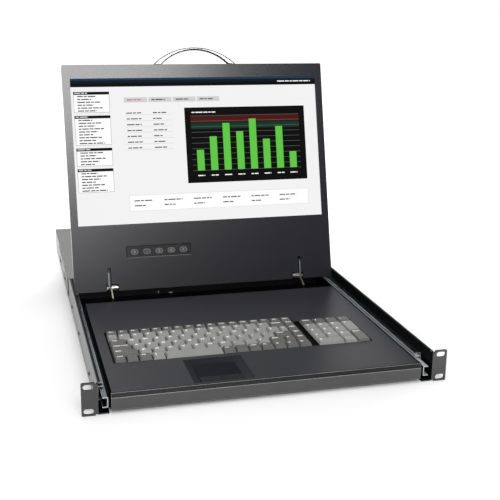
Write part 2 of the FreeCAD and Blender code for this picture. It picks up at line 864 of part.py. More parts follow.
def keyboard_keys():
    front = s.keys_front
    pitch = s.row_pitch
    space = key_row("space", front, pitch)
    shift = key_row("shift", front + pitch, pitch)
    caps = key_row("caps", front + pitch * 2, pitch)
    tab = key_row("tab", front + pitch * 3, pitch)
    digit = key_row("digit", front + pitch * 4, pitch)
    function = key_row("function", digits_rear, s.function_row)
    groups = {
        "function_keys": function,
        "digit_keys": digit[:13],
        "top_letter_keys": tab[1:14],
        "home_letter_keys": caps[1:12],
        "low_letter_keys": shift[1:11],
        "space_bar": [space[4]],
        "modifier_keys": [tab[0], caps[0], caps[12], shift[0], shift[11], digit[13]] + space[:4] + space[5:9],
        "navigation_keys": [digit[14], tab[14], caps[13]] + shift[12:] + space[9:],
        "number_pad_keys": number_pad(),
    }
    for name, keys in groups.items():
        keep(name, group(name + "_group", keys))


def number_pad():
    # Five rows of four: a wide zero, and two keys that are two rows tall.
    left, pitch, row = s.pad_left, s.pad_pitch, s.row_pitch
    front = s.keys_front
    cells = [((0, 2), (0, 1)), ((2, 3), (0, 1)), ((3, 4), (0, 2)), ((3, 4), (2, 4))]
    cells += [((c, c + 1), (r, r + 1)) for r in (1, 2, 3) for c in (0, 1, 2)]
    cells += [((c, c + 1), (4, 5)) for c in range(4)]
    keys = []
    for i, (columns, levels) in enumerate(cells):
        x = [left + pitch * column for column in columns]
        y = [front + row * level for level in levels]
        keys.append(keycap(f"pad_key_{i}", x, y))
    return keys


def keyboard_frame():
    base = frame_base
    body = new_body("keyboard_frame_body")
    add_pad(body, "frame_block", "XY", (base, deck_under), [keyboard_outline(s.frame_rim)])
    add_pocket(body, "frame_tray", "XY", (s.frame_top, deck_under), [keyboard_outline(0)])
    half = s.key_stem / 2 + s.stem_clearance
    rows_of_stems = {}
    for x, y in stems:
        in_pad = x.value > s.pad_left.value
        rows_of_stems.setdefault((in_pad, round(y.value, 3)), []).append((x, y))
    guides = []
    for i, row_stems in enumerate(rows_of_stems.values()):
        left, y = min(row_stems, key=lambda stem: stem[0].value)
        right = max(row_stems, key=lambda stem: stem[0].value)[0]
        guides.append(box(f"stem_guide_{i}", (left - half, right + half), (y - half, y + half),
                          (base, s.frame_top)))
    keep("keyboard_frame", cut("keyboard_frame_solid", body, guides))
    keep("keyboard_board", padded("keyboard_board_body", "XY", (base - s.board_plate, base),
                                  [keyboard_outline(s.frame_rim - s.frame_board_step)]))


# ---- touchpad ----

def touchpad():
    left, right, front, rear = s.dish_left, s.dish_right, s.dish_front, s.dish_rear
    gap, rim = s.dish_gap, s.dish_rim
    flange = s.dish_flange
    top = s.deck_top - s.dish_recess
    shell = box("dish_shell", (left + gap, right - gap), (front + gap, rear - gap), (s.dish_base, top))
    wings = box("dish_wings", (left - flange, right + flange),
                (deck_front + s.deck_plate + gap, rear + flange), (deck_under - rim, deck_under))
    x_top = (left + gap + rim, right - gap - rim)
    y_top = (front + gap + rim, rear - gap - rim)
    height = top - s.dish_floor
    funnel = doc.addObject("Part::Wedge", "dish_funnel")
    funnel.Placement = FreeCAD.Placement(FreeCAD.Vector(), FreeCAD.Rotation(FreeCAD.Vector(1, 0, 0), 90))
    slope, front_slope = s.dish_slope, s.dish_front_slope
    width, depth = x_top[1] - x_top[0], y_top[1] - y_top[0]
    for path, size in (
        ("Ymin", 0), ("Ymax", height),
        ("X2min", 0), ("X2max", width), ("Xmin", slope), ("Xmax", width - slope),
        ("Z2min", -depth), ("Z2max", 0), ("Zmin", slope - depth), ("Zmax", -front_slope),
    ):
        bind(funnel, path, size)
    place(funnel, x_top[0], y_top[0], s.dish_floor)
    x_in = (x_top[0] + slope, x_top[1] - slope)
    y_in = (y_top[0] + front_slope, y_top[1] - slope)
    well = box("dish_well", x_in, y_in, (s.dish_ledge, s.dish_floor))
    ledge = s.ledge_width
    drain = box("dish_drain", (x_in[0] + ledge, x_in[1] - ledge), (y_in[0] + ledge, y_in[1] - ledge),
                (s.dish_base, s.dish_ledge))
    keep("touchpad_frame", cut("dish_solid", fuse("dish_block", [shell, wings]), [funnel, well, drain]))
    side = s.touch_gap
    keep("touchpad", padded("touchpad_body", "XY", (s.dish_ledge, s.touch_top),
                            [rectangle((x_in[0] + side, x_in[1] - side), (s.touch_front, y_in[1] - side))]))
    middle = (x_in[0] + x_in[1]) / 2
    spans = {"left": (x_in[0] + side, middle - side), "right": (middle + side, x_in[1] - side)}
    for word, x in spans.items():
        y = (y_in[0] + side, s.touch_front - side)
        z = (s.touch_button_top - s.touch_button_plate, s.touch_button_top)
        keep(f"touch_button_{word}", padded(f"touch_button_{word}_body", "XY", z, [rectangle(x, y)]))


# ---- electronics housing ----

def around(x, z, width, height):
    # an upright rectangle about its middle
    return rectangle((x - width / 2, x + width / 2), (z - height / 2, z + height / 2))


inlet_outline = around(s.inlet_x, s.socket_level, s.inlet_width, s.inlet_height)
video_outline = around(s.video_x, s.socket_level, s.video_width, s.video_height)
data_outline = around(s.data_x, s.socket_level, s.data_width, s.data_height)


def housing():
    plate = s.housing_plate
    side = tray_inside - s.housing_gap
    body = new_body("housing_body")
    wall = s.bend + plate
    add_pad(body, "housing_block", "XZ", (housing_start, panel_front), [[
        (-side, floor_top + s.bend), (side, floor_top + s.bend), (side, s.housing_top, wall),
        (-side, s.housing_top, wall)]])
    add_pad(body, "housing_front_foot", "XZ", (housing_start, housing_start + plate),
            [rectangle((-side + wall, side - wall), (floor_top, floor_top + s.bend))])
    inside = rectangle((-side + plate, side - plate), (floor_top, s.housing_top - plate))
    add_pocket(body, "housing_hollow", "XZ", (housing_start + plate, panel_front), [inside])
    keep("rear_housing", body)


def rear_panel():
    # four plates side by side: a blank, one for each signal socket, one for the inlet
    reach = tray_inside - s.housing_gap - s.bend
    edges = (-reach, s.video_x - s.plate_margin, (s.video_x + s.data_x) / 2, s.data_x + s.plate_margin, reach)
    holes = ([], [video_outline], [data_outline], [inlet_outline])
    plates = []
    for i, hole in enumerate(holes):
        start = edges[i] + s.plate_joint if i else edges[i]
        outline = rectangle((start, edges[i + 1]), (floor_top, s.housing_top))
        plates.append(padded(f"rear_plate_{i}", "XZ", (panel_front, s.tray_depth), [outline] + hole))
    keep("rear_panel", group("rear_plates", plates))


def power_inlet():
    face, level, edge = s.tray_depth, s.socket_level, s.inlet_edge
    body = new_body("inlet_body")
    add_pad(body, "inlet_block", "XZ", (face - s.inlet_depth, face), [inlet_outline])
    rim = around(s.inlet_x, level, s.inlet_width + edge * 2, s.inlet_height + edge * 2)
    mouth = face + s.inlet_flange
    add_pad(body, "inlet_rim", "XZ", (face, mouth), [[corner + (edge,) for corner in rim]])
    bottom = mouth - s.inlet_cavity_depth
    mouth_corners = around(s.inlet_x, level, s.inlet_cavity_width, s.inlet_cavity_height)
    (left, low), (right, high) = mouth_corners[0], mouth_corners[2]
    chamfer = s.inlet_chamfer
    cavity = [
        (left, low), (right, low), (right, high - chamfer), (right - chamfer, high),
        (left + chamfer, high), (left, high - chamfer),
    ]
    add_pocket(body, "inlet_cavity", "XZ", (bottom, mouth), [cavity])
    blades = []
    for i, place_x in enumerate((-1, 0, 1)):
        x = s.inlet_x + s.blade_pitch * place_x
        z = level + s.blade_rise * (-1 if place_x else 1)
        blades.append(box(f"inlet_blade_{i}", (x - s.blade_half_width, x + s.blade_half_width),
                          (bottom, mouth - s.blade_setback),
                          (z - s.blade_half_height, z + s.blade_half_height)))
    keep("power_inlet", fuse("inlet_solid", [body] + blades))


def signal_sockets():
    face = s.tray_depth
    video = padded("video_socket", "XZ", (panel_front - s.video_depth, face + s.video_reach), [video_outline])
    data = new_body("data_socket")
    data_end = face + s.data_reach
    add_pad(data, "data_block", "XZ", (panel_front - s.data_depth, data_end), [data_outline])
    mouth = around(s.data_x, s.socket_level, s.data_width - s.data_wall * 2, s.data_height - s.data_wall * 2)
    add_pocket(data, "data_mouth", "XZ", (panel_front - s.data_mouth_depth, data_end), [mouth])
    keep("signal_sockets", group("signal_socket_group", [video, data]))


board_x = (s.board_left, s.supply_left - s.board_side_gap)
board_y = (housing_start + s.board_front_gap, s.tray_depth - s.board_rear_gap)


def electronics():
    low = floor_top + s.standoff
    keep("main_board", padded("main_board_body", "XY", (low, low + s.board_plate),
                              [rectangle(board_x, board_y)]))
    supply_rear = s.tray_depth - s.inlet_depth - s.supply_rear_gap
    keep("power_supply", padded(
        "power_supply_body", "XY", (floor_top, floor_top + s.supply_height),
        [rectangle((s.supply_left, s.supply_left + s.supply_width),
                   (supply_rear - s.supply_depth, supply_rear))]))


def standoffs_and_screws():
    inset = s.keyboard_post_inset
    board_low = frame_base - s.board_plate
    front, rear = s.keys_front + inset, keys_rear - inset
    left, right, step = s.keys_left + inset, pad_right - inset, keys_right - inset
    posts = [(x, y, board_low) for x, y in ((left, front), (right, front), (left, rear), (step, rear))]
    inset = s.board_post_inset
    board_under = floor_top + s.standoff
    posts += [(x, y, board_under) for x in (board_x[0] + inset, board_x[1] - inset)
              for y in (board_y[0] + inset, board_y[1] - inset)]
    solids = [prism(f"standoff_{i}", "z", (x, y, floor_top), top - floor_top, s.standoff_radius)
              for i, (x, y, top) in enumerate(posts)]
    for side, word in SIDES:
        for i, y in enumerate(tray_screws):
            seat = (side * tray_inside, y, s.slide_level)
            solids.append(screw_head(f"{word}_tray_screw_{i}", "x", seat, -side))
        foot = (side * (arm_low - s.foot_width / 2), arm_front + s.arm_foot / 2, floor_top + s.arm_plate)
        solids.append(screw_head(f"{word}_foot_screw", "z", foot, 1))
    keep("drawer_screws", group("drawer_screw_group", solids))


# ---- lid hinges ----

arm_low = s.hinge_x - s.hinge_gap / 2 - s.arm_plate
arm_high = arm_low + s.arm_plate
leaf_low = arm_high + s.hinge_gap
leaf_high = leaf_low + s.arm_plate
lean = math.radians(SIZES["lid_lean"])
lean_cos = Size(math.cos(lean), "cos(Sizes.lid_lean * 1deg)")
lean_sin = Size(math.sin(lean), "sin(Sizes.lid_lean * 1deg)")
axis_y = s.lid_foot_y + s.pin_height * lean_sin + s.pin_depth * lean_cos
axis_z = s.lid_foot_z + s.pin_height * lean_cos - s.pin_depth * lean_sin


def hinge_arm(side, word):
    # A cranked plate that stands on the tray and holds the pin at its upper end.
    radius = s.eye_radius
    rear = arm_front + s.arm_foot
    outline = [
        (arm_front, floor_top), (arm_front, s.arm_shoulder), (axis_y - s.arm_neck, axis_z + s.arm_neck_rise),
        (axis_y + s.arm_neck, axis_z - s.arm_neck_rise), (rear, s.arm_heel), (rear, floor_top),
    ]
    x = across(side, arm_low, arm_high)
    plate = padded(f"{word}_arm_plate", "YZ", x, [outline])
    eye = cylinder(f"{word}_arm_eye", "x", (x[0], axis_y, axis_z), s.arm_plate, radius)
    foot_x = across(side, arm_low - s.foot_width, arm_low)
    foot = box(f"{word}_arm_foot", foot_x, (arm_front, rear), (floor_top, floor_top + s.arm_plate))
    blank = fuse(f"{word}_arm_blank", [plate, eye, foot])
    bore = cylinder(f"{word}_arm_bore", "x", (x[0], axis_y, axis_z), s.arm_plate,
                    s.pin_radius + s.pin_clearance)
    keep(f"hinge_arm_{word}", cut(f"{word}_arm_solid", blank, [bore]))


def in_lid(name, obj):
    # Lays a piece drawn in the lid's own frame against the leaning lid.
    obj.Placement = FreeCAD.Placement(
        FreeCAD.Vector(), FreeCAD.Rotation(FreeCAD.Vector(-1, 0, 0), SIZES["lid_lean"]))
    bind(obj, "Placement.Rotation.Angle", s.lid_lean)
    place(obj, 0, s.lid_foot_y, s.lid_foot_z)
    keep(name, obj)


back_inside = s.lid_depth - s.lid_plate
leaf_flange_low = s.notch_top + s.leaf_flange_gap


def hinge_leaf(side, word):
    x = across(side, leaf_low, leaf_high)
    outline = [
        (s.leaf_front, s.pin_height), (s.pin_depth, s.leaf_foot), (back_inside, s.leaf_heel),
        (back_inside, s.leaf_top), (s.pin_depth, s.leaf_top), (s.leaf_front, s.leaf_top - s.leaf_chamfer),
    ]
    plate = padded(f"{word}_leaf_plate", "YZ", x, [outline])
    flange_x = across(side, leaf_high, leaf_high + s.leaf_flange)
    flange = box(f"{word}_leaf_flange", flange_x, (back_inside - s.arm_plate, back_inside),
                 (leaf_flange_low, s.leaf_top))
    bore = cylinder(f"{word}_leaf_bore", "x", (x[0], s.pin_depth, s.pin_height), s.arm_plate, s.pin_radius)
    blank = fuse(f"{word}_leaf_blank", [plate, flange])
    in_lid(f"hinge_leaf_{word}", cut(f"{word}_leaf_solid", blank, [bore]))


def hinge_pins():
    # A shaft with a head, a stack of friction washers, and a nut on each side.
    solids = []
    head_radius = s.eye_radius * 0.8
    for side, word in SIDES:
        head_low = arm_low - s.hinge_gap - s.washer_stack - s.pin_head
        head_high = head_low + s.pin_head
        nut_high = leaf_high + s.pin_nut
        pieces = [("shaft", cylinder, (head_low, nut_high), s.pin_radius),
                  ("head", cylinder, (head_low, head_high), head_radius),
                  ("washers", cylinder, (head_high, arm_low - s.hinge_gap), s.washer_radius),
                  ("nut", prism, (leaf_high, nut_high), head_radius)]
        rods = []
        for piece, shape, (low, high), radius in pieces:
            x = across(side, low, high)
            start = (x[0], s.pin_depth, s.pin_height)
            rods.append(shape(f"{word}_pin_{piece}", "x", start, x[1] - x[0], radius))
        solids.append(fuse(f"{word}_pin", rods))
    in_lid("hinge_pins", group("hinge_pin_group", solids))


# ---- screen lid ----

def notch_span(side):
    return across(side, arm_low - s.hinge_gap - s.washer_stack - s.pin_head - s.notch_side,
                  leaf_high + s.pin_nut + s.notch_side)


def hinge_cuts(name, depth):
    # The slot that swallows the arm as the lid closes, and the notch round the pin.
    low, high = as_size(depth[0]), as_size(depth[1])
    cuts = []
    for side, word in SIDES:
        slot = across(side, arm_low - s.slot_side, leaf_high + s.slot_side)
        cuts.append(box(f"{name}_{word}_slot", slot, (low, high), (-s.cut_margin, s.slot_top)))
        cuts.append(box(f"{name}_{word}_notch", notch_span(side), (low, high), (-s.cut_margin, s.notch_top)))
    return cuts


lid_half = rail_in - s.lid_side_gap
window_x = (-lid_half + s.window_side, lid_half - s.window_side)
window_z = (s.window_low, s.lid_height - s.window_above)
osd_x = (s.osd_left, s.osd_left + s.osd_width)
osd_z = (s.osd_low, s.osd_low + s.osd_height)


def lid_shell():
    half = lid_half
    outline = rectangle((-half, half), (0, s.lid_height), s.lid_corner)
    bezel = padded("bezel_body", "XZ", (0, s.bezel_plate),
                   [outline, rectangle(window_x, window_z), rectangle(osd_x, osd_z)])
    in_lid("lid_bezel", cut("bezel_solid", bezel, hinge_cuts("bezel", (-s.cut_margin, s.bezel_plate))))
    plate = s.lid_plate
    back = new_body("back_body")
    add_pad(back, "back_block", "XZ", (s.bezel_plate, s.lid_depth), [outline])
    inside = rectangle((-half + plate, half - plate), (plate, s.lid_height - plate))
    add_pocket(back, "back_hollow", "XZ", (s.bezel_plate, back_inside), [inside])
    notches = [
        box(f"back_{word}_notch", notch_span(side), (s.bezel_plate, back_inside), (-s.cut_margin, plate))
        for side, word in SIDES
    ]
    in_lid("lid_back_cover", cut("back_solid", back, notches))


def screen():
    over = s.panel_overlap
    outline = rectangle((window_x[0] - over, window_x[1] + over), (window_z[0] - over, window_z[1] + over))
    glass_back = s.bezel_plate + s.screen_plate
    in_lid("lcd_screen", padded("screen_body", "XZ", (s.bezel_plate, glass_back), [outline]))
    module_back = glass_back + s.panel_depth
    module = padded("module_body", "XZ", (glass_back, module_back), [outline])
    half = s.module_foot / 2
    feet = []
    for side, word in SIDES:
        x = side * (window_x[1] - s.module_foot_side)
        for end, z in (("low", window_z[0] + s.module_foot_end), ("high", window_z[1] - s.module_foot_end)):
            feet.append(box(f"module_foot_{word}_{end}", (x - half, x + half), (module_back, back_inside),
                            (z - half, z + half)))
    in_lid("lcd_module", fuse("module_solid", [module] + feet))


def osd_controls():
    low_face, rear_face = s.osd_sink, s.bezel_plate
    gap, rim = s.osd_plate_gap, s.osd_rim
    body = new_body("osd_plate_body")
    inner = rectangle((osd_x[0] + gap, osd_x[1] - gap), (osd_z[0] + gap, osd_z[1] - gap))
    add_pad(body, "osd_face", "XZ", (low_face, rear_face), [inner])
    outer = rectangle((osd_x[0] - rim, osd_x[1] + rim), (osd_z[0] - rim, osd_z[1] + rim))
    add_pad(body, "osd_back", "XZ", (rear_face, rear_face + s.osd_plate), [outer])
    level = (osd_z[0] + osd_z[1]) / 2
    middle = (osd_x[0] + osd_x[1]) / 2
    width, height, around = s.osd_button_width, s.osd_button_height, s.osd_button_gap
    places = [middle + s.osd_pitch * (i - 2) for i in range(5)]
    add_pocket(body, "osd_holes", "XZ", (low_face, rear_face + s.osd_plate), (),
               [(x, level, width + around * 2, height + around * 2) for x in places])
    in_lid("osd_plate", body)
    front = s.osd_sink - s.osd_button_proud
    for i, x in enumerate(places, start=1):
        button = padded(f"osd_button_body_{i}", "XZ", (front, front + s.osd_button_depth), (),
                        [(x, level, width, height)])
        in_lid(f"osd_button_{i}", button)
    board_front = front + s.osd_button_depth + s.osd_travel + s.osd_board_gap
    board_back = board_front + s.osd_board_plate
    board = box("osd_board_plate", (osd_x[0] - rim, osd_x[1] + rim), (board_front, board_back),
                (osd_z[0] - rim, osd_z[1] + rim))
    post = s.osd_post
    posts = [
        box(f"osd_post_{i}", (x, x + post), (board_back, back_inside), (level - post / 2, level + post / 2))
        for i, x in enumerate((osd_x[0], osd_x[1] - post))
    ]
    in_lid("osd_board", fuse("osd_board_solid", [board] + posts))


# ---- lid handle ----

def handle_x(side):
    return side * (s.handle_span - s.handle_foot) / 2


def handle_y():
    return s.lid_depth / 2


def arc_points(half, rise):
    # radius and centre height of the arc over a chord of 2 * half
    radius = (half * half + rise * rise) / (rise * 2)
    return radius, rise - radius


def lid_handle():
    # A crescent between two arcs, standing on the lid's top edge.
    half = s.handle_span / 2
    inner_half = half - s.handle_foot
    outer_radius, outer_drop = arc_points(half, s.handle_rise)
    inner_radius, inner_drop = arc_points(inner_half, s.handle_inner_rise)
    low = s.lid_height
    y = handle_y() - s.handle_depth / 2
    outer = cylinder("handle_outer", "y", (0, y, low + outer_drop), s.handle_depth, outer_radius)
    inner = cylinder("handle_inner", "y", (0, y, low + inner_drop), s.handle_depth, inner_radius)
    crescent = cut("handle_crescent", outer, [inner])
    below = box("handle_below", (-half * 2, half * 2), (y, y + s.handle_depth), (low - outer_radius * 2, low))
    in_lid("lid_handle", cut("handle_solid", crescent, [below]))


def lid_screws():
    heads = []
    for side, word in SIDES:
        leaf_seat = (side * (leaf_high + s.leaf_flange / 2), back_inside - s.arm_plate,
                     (leaf_flange_low + s.leaf_top) / 2)
        heads.append(screw_head(f"{word}_leaf_screw", "y", leaf_seat, -1))
        handle_seat = (handle_x(side), handle_y(), s.lid_height - s.lid_plate)
        heads.append(screw_head(f"{word}_handle_screw", "z", handle_seat, -1))
    in_lid("lid_screws", group("lid_screw_group", heads))


# ---- build, check and write ----

def build():
    for side, word in SIDES:
        rail(side, word)
        rear_bracket(side, word)
    rear_cover()
    rear_tie_bar()
    chassis_screws()
    slides()
    drawer_tray()
    front_lip()
    deck_cover()
    keyboard_keys()
    keyboard_frame()
    touchpad()
    housing()
    rear_panel()
    power_inlet()
    signal_sockets()
    electronics()
    standoffs_and_screws()
    for side, word in SIDES:
        hinge_arm(side, word)
        hinge_leaf(side, word)
    hinge_pins()
    lid_shell()
    screen()
    osd_controls()
    lid_handle()
    lid_screws()


def check_and_write():
    doc.recompute()
    for obj in doc.Objects:
        if any(word in obj.State for word in ("Invalid", "Error")):
            raise RuntimeError(f"{obj.Name} failed: {obj.State}")
    for name, obj in parts.items():
        if obj.Shape.isNull() or not obj.Shape.isValid():
            raise RuntimeError(f"{name} has no valid shape")
    os.makedirs("parts", exist_ok=True)
    for name, obj in parts.items():
        obj.Shape.exportStep(f"parts/{name}.step")
    print(f"{len(parts)} parts written")


build()
check_and_write()
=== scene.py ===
import json
import math
import bpy
import bmesh
from mathutils import Matrix, Vector


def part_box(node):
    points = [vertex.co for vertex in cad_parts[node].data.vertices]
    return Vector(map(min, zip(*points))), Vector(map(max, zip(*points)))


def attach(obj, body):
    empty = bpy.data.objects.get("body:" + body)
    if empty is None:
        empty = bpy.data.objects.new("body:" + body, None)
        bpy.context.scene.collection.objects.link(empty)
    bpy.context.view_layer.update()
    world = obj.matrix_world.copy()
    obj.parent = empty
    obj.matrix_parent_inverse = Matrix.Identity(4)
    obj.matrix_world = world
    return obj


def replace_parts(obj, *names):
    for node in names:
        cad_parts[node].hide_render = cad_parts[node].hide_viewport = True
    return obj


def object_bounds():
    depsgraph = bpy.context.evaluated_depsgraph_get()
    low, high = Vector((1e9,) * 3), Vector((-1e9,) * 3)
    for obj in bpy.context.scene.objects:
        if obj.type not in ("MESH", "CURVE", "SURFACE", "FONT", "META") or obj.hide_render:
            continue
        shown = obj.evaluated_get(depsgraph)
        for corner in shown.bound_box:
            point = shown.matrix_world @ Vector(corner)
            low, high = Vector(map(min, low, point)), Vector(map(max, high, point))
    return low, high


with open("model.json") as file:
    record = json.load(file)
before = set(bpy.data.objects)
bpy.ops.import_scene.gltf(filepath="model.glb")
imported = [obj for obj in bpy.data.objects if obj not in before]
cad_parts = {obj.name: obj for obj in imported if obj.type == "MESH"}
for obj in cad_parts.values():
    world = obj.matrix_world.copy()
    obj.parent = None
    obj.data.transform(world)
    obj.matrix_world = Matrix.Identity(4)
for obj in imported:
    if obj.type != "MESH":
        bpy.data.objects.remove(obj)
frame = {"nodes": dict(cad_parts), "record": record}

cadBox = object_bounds()
scene = bpy.context.scene
nodes = frame["nodes"]
mm = 0.001
bodyOf = {name: body for body, names in frame["record"]["behaviour"]["bodies"].items() for name in names}
print("frame loaded")


def addObject(name, data):
    made = bpy.data.objects.new(name, data)
    scene.collection.objects.link(made)
    return made


cameraSetup = {
    "place": Vector((-317.6, -1040.7, 479.2)) * mm,
    "azimuth": -15.3, "elevation": 15.7, "roll": 0.8,  # degrees; azimuth 0 looks along +Y
    "lens": 66.66, "sensor": 36.0,  # mm
    "nearest": 0.01, "farthest": 60.0,  # m
}


def makeCamera(setup):
    turn, lift, roll = (math.radians(setup[key]) for key in ("azimuth", "elevation", "roll"))
    back = Vector((math.sin(turn) * math.cos(lift), -math.cos(turn) * math.cos(lift), math.sin(lift)))
    right = (-back).cross(Vector((0, 0, 1))).normalized()
    up = right.cross(-back)
    level = Matrix((right, up, back)).transposed().to_4x4()
    data = bpy.data.cameras.new("camera")
    data.lens = setup["lens"]
    data.sensor_width = setup["sensor"]
    data.clip_start = setup["nearest"]
    data.clip_end = setup["farthest"]
    camera = addObject("camera", data)
    camera.matrix_world = Matrix.Translation(setup["place"]) @ level @ Matrix.Rotation(roll, 4, "Z")
    scene.camera = camera


makeCamera(cameraSetup)
scene.view_settings.view_transform = "Standard"


def linear(hexColour):
    # sRGB hex to linear RGBA
    channels = [int(hexColour[i:i + 2], 16) / 255 for i in (1, 3, 5)]
    return [c / 12.92 if c <= 0.04045 else ((c + 0.055) / 1.055) ** 2.4 for c in channels] + [1.0]


def addNode(tree, kind, inputs=None, **settings):
    # links an input that is given as a socket, and sets any other; a Mix node's inputs go by number,
    # 0 the factor, 2 and 3 the floats, 6 and 7 the colours
    made = tree.nodes.new(kind)
    for name, value in settings.items():
        setattr(made, name, value)
    for socket, value in (inputs or {}).items():
        if isinstance(value, bpy.types.NodeSocket):
            tree.links.new(value, made.inputs[socket])
        else:
            made.inputs[socket].default_value = value
    return made


def startMaterial(name):
    # gives back the material, its empty tree and the place on the object that patterns follow
    material = bpy.data.materials.new(name)
    material.use_nodes = True
    tree = material.node_tree
    tree.nodes.clear()
    return material, tree, addNode(tree, "ShaderNodeTexCoord").outputs["Object"]


def closeMaterial(tree, inputs):
    shader = addNode(tree, "ShaderNodeBsdfPrincipled", inputs)
    addNode(tree, "ShaderNodeOutputMaterial", {"Surface": shader.outputs["BSDF"]})


studio = {
    "sky": "#FFFFFF",
    "fill": 0.42,  # light that reaches matt surfaces from all round
    "wallLean": (0.85, -0.55, 1.0),  # the wall stands high behind and to the left, low in front
    "wallTop": -0.05, "ceiling": 0.35,  # where the wall starts to darken, and where the ceiling is reached
    "wallTone": 1.5, "ceilingTone": 0.08,
}


def makeWorld(setup):
    # the camera sees plain white, mirrors see a white wall under a dark ceiling, and the rest is fill
    world = bpy.data.worlds.new("studio")
    world.use_nodes = True
    tree = world.node_tree
    tree.nodes.clear()
    path = addNode(tree, "ShaderNodeLightPath")
    heading = addNode(tree, "ShaderNodeTexCoord").outputs["Generated"]
    height = addNode(tree, "ShaderNodeVectorMath", {0: heading, 1: setup["wallLean"]},
                     operation="DOT_PRODUCT").outputs["Value"]
    wall = addNode(tree, "ShaderNodeMapRange", {
        "Value": height, "From Min": setup["wallTop"], "From Max": setup["ceiling"],
        "To Min": setup["wallTone"], "To Max": setup["ceilingTone"]},
        interpolation_type="SMOOTHSTEP").outputs["Result"]
    mirror = addNode(tree, "ShaderNodeMath", {
        0: path.outputs["Is Glossy Ray"], 1: path.outputs["Is Transmission Ray"]},
        operation="MAXIMUM").outputs[0]
    around = addNode(tree, "ShaderNodeMix", {0: mirror, 2: setup["fill"], 3: wall},
                     data_type="FLOAT").outputs[0]
    strength = addNode(tree, "ShaderNodeMix", {0: path.outputs["Is Camera Ray"], 2: around, 3: 1.0},
                       data_type="FLOAT").outputs[0]
    sky = addNode(tree, "ShaderNodeBackground", {"Color": linear(setup["sky"]), "Strength": strength})
    addNode(tree, "ShaderNodeOutputWorld", {"Surface": sky.outputs[0]})
    scene.world = world


lamps = {
    # name: (place, aimed at, width and height, watts); metres
    "frontSoftbox": ((-0.15, -3.3, 2.42), (-0.12, 0.46, 0.3), (2.1, 1.5), 84.0),
    "lowPanel": ((-0.4, -1.7, 0.78), (-0.12, 0.4, 0.1), (1.0, 0.5), 2.4),
    "topPanel": ((-0.3, 0.1, 2.9), (0.0, 0.25, 0.0), (2.2, 2.2), 26.0),
    "leftPanel": ((-1.5, -0.3, 1.1), (0.0, 0.2, 0.1), (0.9, 0.9), 5.0),
    "rearPanel": ((0.2, 3.0, 1.6), (0.0, 0.5, 0.1), (2.0, 1.2), 18.0),
}


def makeLamp(name, place, target, size, watts):
    data = bpy.data.lights.new(name, "AREA")
    data.shape = "RECTANGLE"
    data.size, data.size_y = size
    data.energy = watts
    aim = Vector(target) - Vector(place)
    lamp = addObject(name, data)
    lamp.matrix_world = Matrix.Translation(place) @ aim.to_track_quat("-Z", "Y").to_matrix().to_4x4()


makeWorld(studio)
for name, (place, target, size, watts) in lamps.items():
    makeLamp(name, place, target, size, watts)

paperFloor = {
    "reach": 12.0,  # m
    "tone": "#F4F4F4", "glow": "#FFFFFF", "roughness": 0.9,
    # it keeps the shadow round the middle and glows white further out; metres, and strengths of the glow
    "middle": (-0.08, 0.2, 0.0), "near": 0.3, "far": 0.6, "nearGlow": 0.03, "farGlow": 0.7,
}


def makeFloor(level, setup):
    bm = bmesh.new()
    bmesh.ops.create_grid(bm, x_segments=1, y_segments=1, size=setup["reach"])
    bmesh.ops.translate(bm, verts=bm.verts, vec=(0, 0, level))
    mesh = bpy.data.meshes.new("floor")
    bm.to_mesh(mesh)
    bm.free()
    material, tree, place = startMaterial("mattPaper")
    path = addNode(tree, "ShaderNodeLightPath")
    seen = addNode(tree, "ShaderNodeMath", {
        0: path.outputs["Is Camera Ray"], 1: path.outputs["Is Glossy Ray"]}, operation="MAXIMUM").outputs[0]
    reach = addNode(tree, "ShaderNodeVectorMath", {0: place, 1: setup["middle"]},
                    operation="DISTANCE").outputs["Value"]
    glow = addNode(tree, "ShaderNodeMapRange", {
        "Value": reach, "From Min": setup["near"], "From Max": setup["far"],
        "To Min": setup["nearGlow"], "To Max": setup["farGlow"]},
        interpolation_type="SMOOTHSTEP").outputs["Result"]
    glow = addNode(tree, "ShaderNodeMath", {0: seen, 1: glow}, operation="MULTIPLY").outputs[0]
    closeMaterial(tree, {
        "Base Color": linear(setup["tone"]), "Roughness": setup["roughness"], "Specular IOR Level": 0.0,
        "Emission Color": linear(setup["glow"]), "Emission Strength": glow})
    mesh.materials.append(material)
    addObject("floor", mesh)


makeFloor(cadBox[0].z, paperFloor)
print("stage ready")

materials = {}
noiseSpan = {"From Min": 0.3, "From Max": 0.7}  # most of a noise texture's values lie between these
patterns = {
    # mm; how wide a surface's tone drifts, and how high its relief is
    "coatDrift": 110.0, "coatRelief": 0.2, "handling": 25.0, "mouldRelief": 0.1, "screenCloud": 330.0,
}


def paintedSteel(name, light, dark, roughness, grain, relief, gleam):
    # powder coat, sprayed and baked on sheet steel: satin, with a fine orange peel and slightly uneven gloss
    material, tree, place = startMaterial(name)
    patches = addNode(tree, "ShaderNodeTexNoise", {
        "Vector": place, "Scale": 1 / (patterns["coatDrift"] * mm), "Detail": 4.0,
        "Roughness": 0.6}).outputs["Fac"]
    peel = addNode(tree, "ShaderNodeTexNoise", {
        "Vector": place, "Scale": 1 / (grain * mm), "Detail": 2.0}).outputs["Fac"]
    colour = addNode(tree, "ShaderNodeMix", {0: patches, 6: linear(dark), 7: linear(light)},
                     data_type="RGBA").outputs[2]
    gloss = addNode(tree, "ShaderNodeMapRange", {
        "Value": peel, **noiseSpan,
        "To Min": roughness - 0.015, "To Max": roughness + 0.025}).outputs["Result"]
    bumps = addNode(tree, "ShaderNodeBump", {
        "Height": peel, "Strength": relief, "Distance": patterns["coatRelief"] * mm}).outputs["Normal"]
    closeMaterial(tree, {
        "Base Color": colour, "Roughness": gloss, "Normal": bumps, "Specular IOR Level": gleam})
    return material


